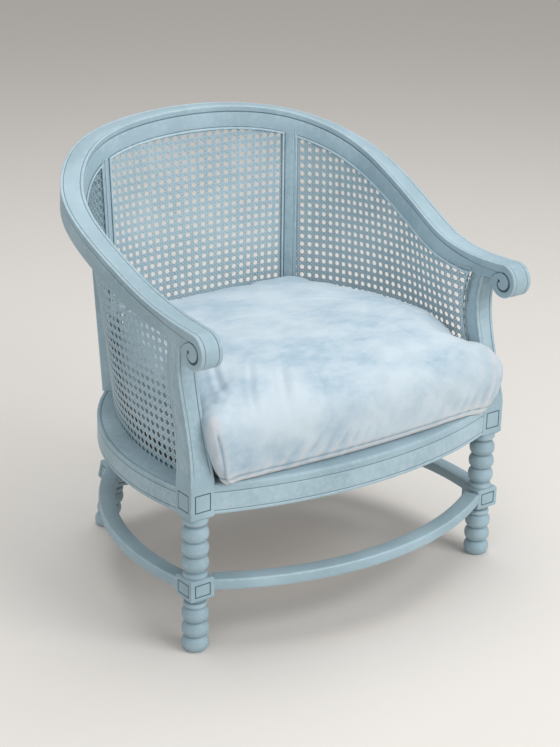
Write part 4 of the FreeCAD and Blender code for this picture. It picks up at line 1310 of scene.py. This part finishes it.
class BackCane(CaneSurface):
    """Back panel between the rear posts, its foot bowed to the back."""

    apex: float = 424.0
    bow: float = 11.0

    def __init__(self, rail: Rail, rear: RearPost) -> None:
        """Rules the surface from the ledge to the rail.

        Args:
            rail: The top rail.
            rear: The right rear post.
        """
        self.rear = rear
        place = np.linspace(1, -1, 200)
        flat = np.zeros(len(place))
        foot = np.stack([rear.foot[0] * place, self.apex - self.bow * place ** 2,
                         flat + RING_TOP], -1)
        super().__init__(foot, rail.at(rail.crest * place, 1.5 - rail.lean, rail.deep - 3),
                         unit(np.stack([2 * self.bow * place / rear.foot[0], flat + 1, flat], -1)))

    def edges(self, h: Array) -> tuple[Array, Array]:
        """Where the panel meets the two rear posts, by distance along the foot."""
        first = self.meet(np.full(len(h), 12.0), h, self.rear, -self.rear.half)
        return first, self.along[-1] - first


@dataclass
class Weave:
    """Open cane: pairs up and across and single strands both ways on the slant."""

    surface: SideCane | BackCane
    offset: Row = (4.0, 3.0)
    pitch: float = 14.2
    pair: float = 1.78
    half: float = 1.38
    slant_half: float = 1.22
    overrun: float = 3.5
    clear: float = 1.1
    ridge: float = 0.33
    ripple: float = 0.14
    over: float = 0.12
    slant_rise: float = 0.5

    def strand(self, shape: Shape, u: Array, h: Array, level: Array, half: float) -> None:
        """Adds one flat strand where it lies inside the panel.

        Args:
            shape: Shape that receives it.
            u: Distances along the foot.
            h: Heights up the slope.
            level: Rise of the strand over and under the others.
            half: Half of its width.
        """
        first, last = self.surface.edges(h)
        inside = ((h > -self.overrun) & (h < self.surface.height(u) + self.overrun)
                  & (u > first - self.overrun) & (u < last + self.overrun))
        marks = np.flatnonzero(np.diff(np.concatenate([[0], inside.astype(int), [0]])))
        for low, high in marks.reshape(-1, 2):
            if high - low < 3:
                continue
            run = slice(low, high)
            centre, normal = self.surface.point(u[run], h[run], self.clear + level[run])
            side = unit(np.cross(normal, np.gradient(centre, axis=0))) * half
            ridge = normal * self.ridge
            section = np.stack([centre - side, centre - ridge, centre + side, centre + ridge], 1)
            # The ridges and the strands that lie over are paler from wear and a painted highlight;
            # the sides and the strands that lie under carry painted shade.
            wear_and_shading = np.array([-0.42, 0.62, -0.42, 0.62]) + 0.5 * level[run][:, None]
            shape.sweep(section, wear_and_shading)

    def shape(self) -> Shape:
        """All strands of the panel: upright pairs, level pairs and the two slants.

        Returns:
            The strands, each a closed strip of lozenge section.
        """
        shape, pitch = Shape(), self.pitch
        wide, tall = self.surface.along[-1], self.surface.tall.max()
        du, dh = self.offset[0] % pitch, self.offset[1]
        h = np.arange(-2, 2 * tall / pitch + 3) * pitch / 2 + dh
        u = np.arange(-4, 2 * wide / pitch + 3) * pitch / 2 + du
        up, on = (self.ripple * np.cos(2 * np.pi * run / pitch) for run in (h - dh, u - du))
        for side in (-self.pair, self.pair):
            for column in np.arange(-2, wide / pitch + 1) + 0.5:
                self.strand(shape, np.full(len(h), du + column * pitch + side), h,
                            up - self.over, self.half)
            for row in np.arange(-1, tall / pitch + 1) + 0.5:
                self.strand(shape, u, np.full(len(u), dh + row * pitch + side),
                            self.over - on, self.half)
        reach = np.arange(-2, 4 * tall / pitch + 6) * pitch / 4
        wave = self.slant_rise * np.cos(2 * np.pi * reach / pitch)
        for start in np.arange(-int(tall / pitch) - 4, int((wide + tall) / pitch) + 3) + 0.5:
            for slant in (1, -1):
                self.strand(shape, du + start * pitch + slant * reach, reach + dh, slant * wave,
                            self.slant_half)
        return shape


@dataclass
class Spline:
    """Half-round beads that hold the weave round the inside of a panel."""

    surface: SideCane | BackCane
    wide: float = 4.5
    high: float = 3.0

    def bead(self, shape: Shape, u: Array, h: Array) -> None:
        """Adds one bead.

        Args:
            shape: Shape that receives it.
            u: Distances along the foot.
            h: Heights up the slope.
        """
        aim = np.linspace(0, np.pi, 8)
        across = np.concatenate([-np.cos(aim), [1, -1]]) * self.wide / 2
        out = np.concatenate([-0.9 - np.sin(aim) ** 0.8 * (self.high - 0.7), [-0.1, -0.1]])
        centre, normal = self.surface.point(u, h, 0)
        side = unit(np.cross(normal, np.gradient(centre, axis=0)))
        points = centre[:, None] + side[:, None] * across[:, None] + normal[:, None] * out[:, None]
        # The bead's crown is pale from wear and a painted highlight; its sides and feet carry
        # painted shade.
        shape.sweep(points, np.concatenate([-0.6 + 1.1 * np.sin(aim), [-0.8, -0.8]]))

    def shape(self) -> Shape:
        """Beads along the foot, the head and both ends.

        Returns:
            The four closed beads.
        """
        shape, half, panel = Shape(), self.wide / 2, self.surface
        low = np.array([half])
        ends = [float(edge[0]) for edge in panel.edges(low)]
        u = np.linspace(*ends, 90)
        self.bead(shape, u, np.full(len(u), half))
        tops = panel.edges(panel.height(np.array(ends)) - 6)
        u = np.linspace(tops[0][0], tops[1][1], 90)
        self.bead(shape, u, panel.height(u) - 3 - half)
        for index, shift in ((0, half), (1, -half)):
            up = np.linspace(0, float(panel.height(tops[index][index:index + 1])[0]) - 2, 60)
            self.bead(shape, panel.edges(up)[index] + shift, up)
        return shape


@dataclass
class Cushion:
    """Loose cushion: a crowned box form blown up as cloth, with seams and creases.

    Each row of the table holds the level, the pull inwards, the flare past the posts and the
    swell of the front. Each crease holds a plan line, its depth and its width. The seam stands
    at the welt's height, and the corner line's places go with its levels.
    """

    post: FrontPost
    base: float = 281.8
    tall: float = 158.0
    inset: float = 5.0
    droop: float = 27.0
    bulge: float = 17.0
    settle: float = 8.0
    settle_below: float = 45.0
    slack: float = 40.0
    middle: float = 173.0
    front: Row = (244.0, -44.0, 14.0)
    side: Row = (266.5, 34.0, 30.0)
    waist: Row = (199.0, 360.0, 6.0)
    back: Row = (172.0, 404.0, 13.0)
    plain: tuple[Row, ...] = ((257, -30), (258, -17), (259, -10))
    seam_deep: float = 2.0
    corner_deep: float = 1.8
    pucker_deep: float = 1.5
    corner_levels: Row = (0, 0.06, 0.5)
    corner_places: Row = (254, 266, 277)
    cap: float = 6.5
    voxel: float = 5.0
    welt: float = 10.5
    fronts: tuple[Row, ...] = (
        (0.000, 0.010, 0.20, 0.90), (0.020, 0.002, 0.45, 0.96), (0.080, 0.000, 0.75, 0.99),
        (0.180, 0.000, 0.95, 1.00), (0.320, 0.000, 1.00, 1.00), (0.470, 0.000, 1.00, 0.96),
        (0.620, 0.002, 1.00, 0.87), (0.740, 0.010, 0.98, 0.74), (0.820, 0.026, 0.90, 0.60),
        (0.880, 0.062, 0.70, 0.46), (0.925, 0.150, 0.40, 0.30), (0.960, 0.310, 0.14, 0.12),
        (0.985, 0.550, 0.03, 0.00), (1.000, 0.880, 0.00, 0.00))
    creases: tuple = (
        (((60, 250), (130, 215), (190, 150), (225, 70)), 2.6, 5.0),
        (((95, 268), (160, 225), (210, 165)), -1.8, 9.0),
        (((-150, 60), (-185, 10), (-205, -30)), 2.4, 5.0),
        (((-105, 40), (-130, -5), (-150, -38)), 2.4, 6.0),
        (((-60, 20), (-70, -20), (-85, -48)), 1.6, 6.0),
        (((-190, 120), (-215, 60), (-232, 10)), 2.2, 5.0),
        (((20, 130), (60, 70), (70, 20)), 1.2, 10.0),
        (((120, 120), (150, 50), (170, -10)), 1.4, 9.0),
        (((-40, 180), (40, 150), (120, 150)), 1.1, 12.0))

    @staticmethod
    def bowed(start: Row, end: Row, rise: float, count: int = 10) -> Array:
        """Shallow arc in plan.

        Args:
            start: First point.
            end: Last point, left out.
            rise: Height of the arc's middle to the right of its chord.
            count: Number of points.

        Returns:
            Plan points, shape (count, 2).
        """
        start, end = np.array(start, float), np.array(end, float)
        t = np.linspace(0, 1, count, endpoint=False)[:, None]
        run = unit(end - start)
        return start + (end - start) * t + np.array([run[1], -run[0]]) * rise * 4 * t * (1 - t)

    def outline(self, level: float, pull: float, flare: float, swell: float) -> Array:
        """Plan line of the start shape at one height.

        Args:
            level: Height as a share of the cushion's.
            pull: Shrink towards the middle.
            flare: How far the front corner wraps round the post, 0 to 1.
            swell: How far the front bulges, 0 to 1.

        Returns:
            Plan points, shape (n, 2).
        """
        slack, flip = self.slack * (1 - swell), np.array([-1, 1])
        rise = (self.base + self.tall * level - self.post.base) / self.post.tall
        shift, face, _, half = (v[0] for v in self.post.track(np.clip([rise], 0, 1)))
        inner = LEG_X + shift - half
        plain = np.array(self.plain) + [(0, slack / 2), (0, 0), (0, 0)]
        wrapped = np.array([(inner + 8, -31 + slack / 2), (inner + 4, face - 4),
                            (inner - 2, face + 4)])
        corner = plain * (1 - flare) + wrapped * flare
        x, y, bow = self.front
        nodes = [((x + 14 * flare, y - 2 + slack), 6), (corner[0], 1), (corner[1], 0),
                 (corner[2], 0), (self.side[:2], self.side[2]), (self.waist[:2], self.waist[2]),
                 (self.back[:2], None)]
        right = np.vstack([self.bowed(a[0], b[0], a[1]) for a, b in zip(nodes, nodes[1:])])
        head = np.array(self.back[:2])
        back = self.bowed(head, head * flip, self.back[2], 20)
        front = self.bowed((-x, y + slack), (x, y + slack), bow, 24)
        left = np.vstack([head * flip, right[::-1] * flip])[:-1]
        # The right corner squeezes out in front of its post, most at two fifths of the height.
        bulge = self.bulge * math.exp(-((level - 0.42) / 0.30) ** 2)
        bulge = bulge * ease((face + 2 - right[:, 1]) / 14)
        right[:, 0] += bulge * ease((right[:, 0] - 215) / 60)
        line, centre = np.vstack([front, right, back, left]), np.array([0, self.middle])
        shrink = (1 - pull * 0.68) * (1 - self.inset / np.array([270.0, 232.0]))
        return (line - centre) * shrink + centre

    def start(self) -> bpy.types.Object:
        """Closed start shape, a little smaller than the finished cushion.

        Returns:
            The linked mesh object.
        """
        table, fine = np.array(self.fronts), np.linspace(0, 1, 60)
        place = np.linspace(0, 1, len(table))
        tall, sections = self.tall - 1.3 * self.inset, []
        for row in np.stack([np.interp(fine, place, column) for column in table.T], -1):
            line = self.outline(*row)
            lean = self.droop * ease((140 - line[:, 1:]) / 200) * ease((row[0] - 0.3) / 0.6)
            z = self.base + 0.3 * self.inset + tall * row[0] - lean
            sections.append(np.hstack([line, z]))
        shape = Shape()
        shape.sweep(np.array(sections))
        points = (np.vstack(shape.points) - np.array([0, FRONT_LINE, 0])) / METRE
        mesh = bpy.data.meshes.new("cushion_start")
        mesh.from_pydata(points.tolist(), [], shape.faces)
        piece = bpy.data.objects.new("cushion_cover_piece", mesh)
        bpy.context.collection.objects.link(piece)
        return piece

    @staticmethod
    def applied(piece: bpy.types.Object) -> None:
        """Turns the piece's evaluated form into its mesh and drops its modifiers.

        Args:
            piece: Mesh object.
        """
        graph = bpy.context.evaluated_depsgraph_get()
        mesh = bpy.data.meshes.new_from_object(piece.evaluated_get(graph))
        piece.modifiers.clear()
        piece.data = mesh

    @staticmethod
    def read(piece: bpy.types.Object) -> Array:
        """Point positions of a mesh object.

        Args:
            piece: Mesh object.

        Returns:
            Array of shape (n, 3) in metres.
        """
        points = np.empty(len(piece.data.vertices) * 3)
        piece.data.vertices.foreach_get("co", points)
        return points.reshape(-1, 3)

    @staticmethod
    def write(piece: bpy.types.Object, points: Array) -> None:
        """Stores point positions in a mesh object."""
        piece.data.vertices.foreach_set("co", np.ascontiguousarray(points).reshape(-1))
        piece.data.update()

    def inflate(self, piece: bpy.types.Object) -> None:
        """Runs the cloth with pressure and caps how far each point moves.

        Args:
            piece: Mesh object of the start shape.
        """
        before = self.read(piece)
        cloth = piece.modifiers.new("cloth", "CLOTH")
        settings = cloth.settings
        settings.quality = 6
        settings.mass = 0.25
        settings.use_pressure = True
        settings.uniform_pressure_force = 4.0
        settings.shrink_min = -0.045
        settings.tension_stiffness = settings.compression_stiffness = 12
        settings.bending_stiffness = 0.25
        settings.effector_weights.gravity = 0
        cloth.point_cache.frame_start, cloth.point_cache.frame_end = 1, 20
        for step in range(1, 21):
            bpy.context.scene.frame_set(step)
        self.applied(piece)
        bpy.context.scene.frame_set(1)
        move = self.read(piece) - before
        length = np.linalg.norm(move, axis=1, keepdims=True)
        cap = self.cap / METRE
        self.write(piece, before + move * cap * np.tanh(length / cap) / np.maximum(length, 1e-9))

    @staticmethod
    def away(points: Array, line: tuple) -> tuple[Array, Array]:
        """Distance of plan points from a line of straight lengths.

        Args:
            points: Plan points.
            line: Corners of the line.

        Returns:
            Distance of each point, and its place along the line from 0 to 1.
        """
        best, place = np.full(len(points), 1e9), np.zeros(len(points))
        line = np.asarray(line, float)
        for index, (a, b) in enumerate(zip(line, line[1:])):
            run = b - a
            t = np.clip(((points - a) @ run) / (run @ run), 0, 1)
            gap = np.linalg.norm(points - a - t[:, None] * run, axis=1)
            near = gap < best
            best = np.where(near, gap, best)
            place = np.where(near, (index + t) / (len(line) - 1), place)
        return best, place

    def finish(self, piece: bpy.types.Object) -> None:
        """Presses creases and seams in, rests the foot flat and stores wear and painted shading.

        Each crease is a narrow dent with a soft ridge beside it, deepest at its middle.

        Args:
            piece: Mesh object after the cloth.
        """
        points = self.read(piece) * METRE + np.array([0, FRONT_LINE, 0])
        points[:, 2] -= self.settle * np.clip(
            1 - (points[:, 2] - self.base) / self.settle_below, 0, 1)
        normals = np.empty(len(points) * 3)
        piece.data.vertex_normals.foreach_get("vector", normals)
        normals = normals.reshape(-1, 3)
        x, y, z = points.T
        level = (z - self.base) / self.tall
        wear_and_shading, side = np.zeros(len(points)), ease((0.5 - normals[:, 2]) / 0.3)
        top = ease((normals[:, 2] + 0.1) / 0.5)
        press = np.zeros(len(points))
        for line, depth, width in self.creases:
            gap, place = self.away(points[:, :2], line)
            fade = np.sin(np.pi * np.clip(place, 0.04, 0.96)) ** 0.6 * top
            dent = np.exp(-(gap / width) ** 2) - 0.6 * np.exp(-((gap - 1.9 * width) / width) ** 2)
            press += depth * dent * fade
            # Painted shade in each crease's dent, and a painted highlight on the ridge beside it.
            wear_and_shading -= np.clip(depth * dent * fade, -0.5, 3) * 0.12
        # Slanting puckers above the welt: waves along the front, faded upwards.
        pucker = (np.sin(x / 4.1 - level * 17 + 2.4 * np.sin(x / 37.0)) * ease((0 - y) / 20) * side
                  * np.exp(-((level - 0.15) / 0.15) ** 2) * (0.7 - 0.5 * np.sin(x / 55.0)))
        seam = np.exp(-((z - self.base - self.welt) / 1.9) ** 2) * side
        seam_x = np.interp(level, self.corner_levels, self.corner_places)
        corner = (np.exp(-((np.abs(x) - seam_x) / 2.0) ** 2) * ease((-8 - y) / 8)
                  * ease((0.6 - level) / 0.1) * np.where(x < 0, 1.0, 0.3))
        press += self.pucker_deep * pucker * ease((level - 0.05) / 0.08)
        press += self.seam_deep * seam + self.corner_deep * corner
        points -= normals * press[:, None]
        # Creamy towards the foot; painted shade in the puckers' dents and a painted highlight on
        # their crests.
        wear_and_shading += 0.75 * ease((0.2 - level) / 0.2) * (1 - seam) - 0.35 * pucker
        wear_and_shading += 0.4 * np.exp(-((np.abs(x) - seam_x) / 12) ** 2) * ease((-8 - y) / 12)
        # Painted shade along the welt seam and the front corner line.
        wear_and_shading -= 0.95 * seam + 1.2 * corner
        points[:, 2] = np.maximum(points[:, 2], self.base)
        self.write(piece, (points - np.array([0, FRONT_LINE, 0])) / METRE)
        layer = piece.data.attributes.new(WEAR_AND_SHADING, "FLOAT", "POINT")
        layer.data.foreach_set("value", np.clip(wear_and_shading, -1, 1).astype(np.float32))
        piece.data.shade_smooth()

    def build(self, finish: Finish) -> None:
        """Args:
            finish: Its finish.
        """
        piece = self.start()
        remesh = piece.modifiers.new("remesh", "REMESH")
        remesh.mode = "VOXEL"
        remesh.voxel_size = self.voxel / METRE
        self.applied(piece)
        self.inflate(piece)
        smooth = piece.modifiers.new("relax", "SMOOTH")
        smooth.iterations = 2
        refine = piece.modifiers.new("refine", "SUBSURF")
        refine.levels = refine.render_levels = 1
        self.applied(piece)
        self.finish(piece)
        adopt(piece, finish, "cushion", "cushion_cover", "cushion_insert")


@dataclass
class Stage:
    """Pale floor, soft studio light and the camera."""

    place: Row = (-1.578, -2.131, 1.346)
    yaw: float = math.radians(36.64)
    pitch: float = math.radians(20.92)
    roll: float = math.radians(-1.037)
    lens: float = 81.87
    lamps: tuple = (("key", (1.3, -3.4, 2.5), 2.4, 92), ("top", (0.4, 0.5, 3.4), 3.0, 60),
                    ("fill", (-2.6, -2.2, 2.2), 2.4, 24))

    def floor(self) -> None:
        """Plain floor."""
        bpy.ops.mesh.primitive_plane_add(size=14, location=(0, 0, 0))
        floor = bpy.context.object
        floor.name = "floor"
        material, tree, place = surface("floor")
        tone = add(tree, "TexNoise", {"Vector": place, "Scale": METRE / 30.0})
        colour = add(tree, "Mix", {0: tone, 6: "#dddad6", 7: "#dbd8d3"}, 2, data_type="RGBA")
        dress(tree, {"Base Color": colour}, (tone, 0.05), {"Roughness": 0.85})
        floor.data.materials.append(material)

    def lights(self) -> None:
        """Soft key from the front right, fill from the left and a pale sky."""
        for name, place, size, power in self.lamps:
            light = bpy.data.lights.new(name, "AREA")
            light.size, light.energy = size, power
            lamp = bpy.data.objects.new(name, light)
            lamp.location = place
            aim = Vector((0, 0, 0.4)) - lamp.location
            lamp.rotation_euler = aim.to_track_quat("-Z", "Y").to_euler()
            bpy.context.collection.objects.link(lamp)
        world = bpy.data.worlds.new("studio")
        world.use_nodes = True
        back = world.node_tree.nodes["Background"]
        back.inputs["Color"].default_value = srgb("#eeeceb")
        back.inputs["Strength"].default_value = 0.55
        bpy.context.scene.world = world

    def camera(self) -> None:
        """Camera at the photo's place and angle."""
        yaw, pitch, roll = self.yaw, self.pitch, self.roll
        ahead = np.array([math.sin(yaw) * math.cos(pitch), math.cos(yaw) * math.cos(pitch),
                          -math.sin(pitch)])
        right = np.array([math.cos(yaw), -math.sin(yaw), 0])
        down = np.cross(ahead, right)
        across = math.cos(roll) * right + math.sin(roll) * down
        down = -math.sin(roll) * right + math.cos(roll) * down
        data = bpy.data.cameras.new("camera")
        data.lens, data.sensor_width = self.lens, 36
        camera = bpy.data.objects.new("camera", data)
        turn = Matrix([across.tolist(), (-down).tolist(), (-ahead).tolist()]).transposed()
        camera.matrix_world = Matrix.Translation(self.place) @ turn.to_4x4()
        bpy.context.collection.objects.link(camera)
        bpy.context.scene.camera = camera

    def build(self) -> None:
        """Sets the whole stage."""
        self.floor()
        self.lights()
        self.camera()
        bpy.context.scene.view_settings.view_transform = "Standard"


def hidden_joinery() -> None:
    """Gives the kept inner nodes their finishes."""
    blocks = [f"{side}_{end}_corner_block" for side in ("left", "right")
              for end in ("front", "rear")]
    dowels = [f"{part}_dowels" for part in ("seat_rail", "crest", "stretcher", "leg", "post")]
    # The seat deck and corner blocks get a darkened timber: plywood tone with painted shade, for
    # where they sit under the cushion.
    kept = {Timber("bare_timber_painted_shade", Slot.BARE, "#8d6f50", "#634a33"): ["seat_deck", *blocks],
            Timber("dowel_timber", Slot.DOWEL, "#d1ab7a", "#b08a5c"): dowels,
            Steel("screw_metal", Slot.SCREW): ["corner_block_screws"]}
    for kind, names in kept.items():
        material = kind.make()
        for name in names:
            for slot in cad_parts[name].material_slots:
                slot.material = material


def main() -> None:
    logging.basicConfig(level=logging.INFO, format="%(message)s")
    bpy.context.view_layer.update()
    paint = Finish.of(Paint("chalk_paint", Slot.PAINT))
    cane_paint = Finish.of(Paint("cane_paint", Slot.CANE, base="#93aeba", pale="#a9c3ce",
                                 rub_and_highlight="#cfdfe5", groove="#3a4d57", rubbing_and_highlight=0.8))
    rail, turning, rear = Rail(), Turning(), RearPost()
    post, leg = FrontPost(turning), RearLeg(turning)
    rail.length(-rail.crest, rail.crest, 70).build("back_crest_rail_piece", paint,
                                                   "back_crest_rail")
    arm = rail.length(rail.crest, 1.0, 130)
    Scroll(rail).add_to(arm)
    both(arm, "arm_rail", paint)
    both(post.shape(), "front_post", paint)
    both(leg.shape(), "rear_leg", paint)
    both(rear.shape(), "rear_post", paint)
    ring, bars = SeatRing(), Stretchers()
    both(ring.side(), "seat_rail", paint)
    ring.back().build("back_seat_rail_piece", paint, "back_seat_rail")
    ring.front().build("front_seat_rail_piece", paint, "front_seat_rail")
    both(bars.side(leg), "stretcher", paint)
    bars.front().build("front_stretcher_piece", paint, "front_stretcher")
    bars.back(leg).build("back_stretcher_piece", paint, "back_stretcher")
    side, back = SideCane(rail, post, rear), BackCane(rail, rear)
    both(Weave(side).shape(), "cane_panel", cane_paint, angle=60)
    both(Spline(side).shape(), "cane_spline", cane_paint)
    Weave(back, (back.along[-1] / 2, 3.0)).shape().build(
        "back_cane_panel_piece", cane_paint, "back_cane_panel", angle=60)
    Spline(back).shape().build("back_cane_spline_piece", cane_paint, "back_cane_spline")
    Cushion(post).build(Finish.of(Velvet("velvet", Slot.FABRIC)))
    hidden_joinery()
    Stage().build()


if __name__ == "__main__":
    main()
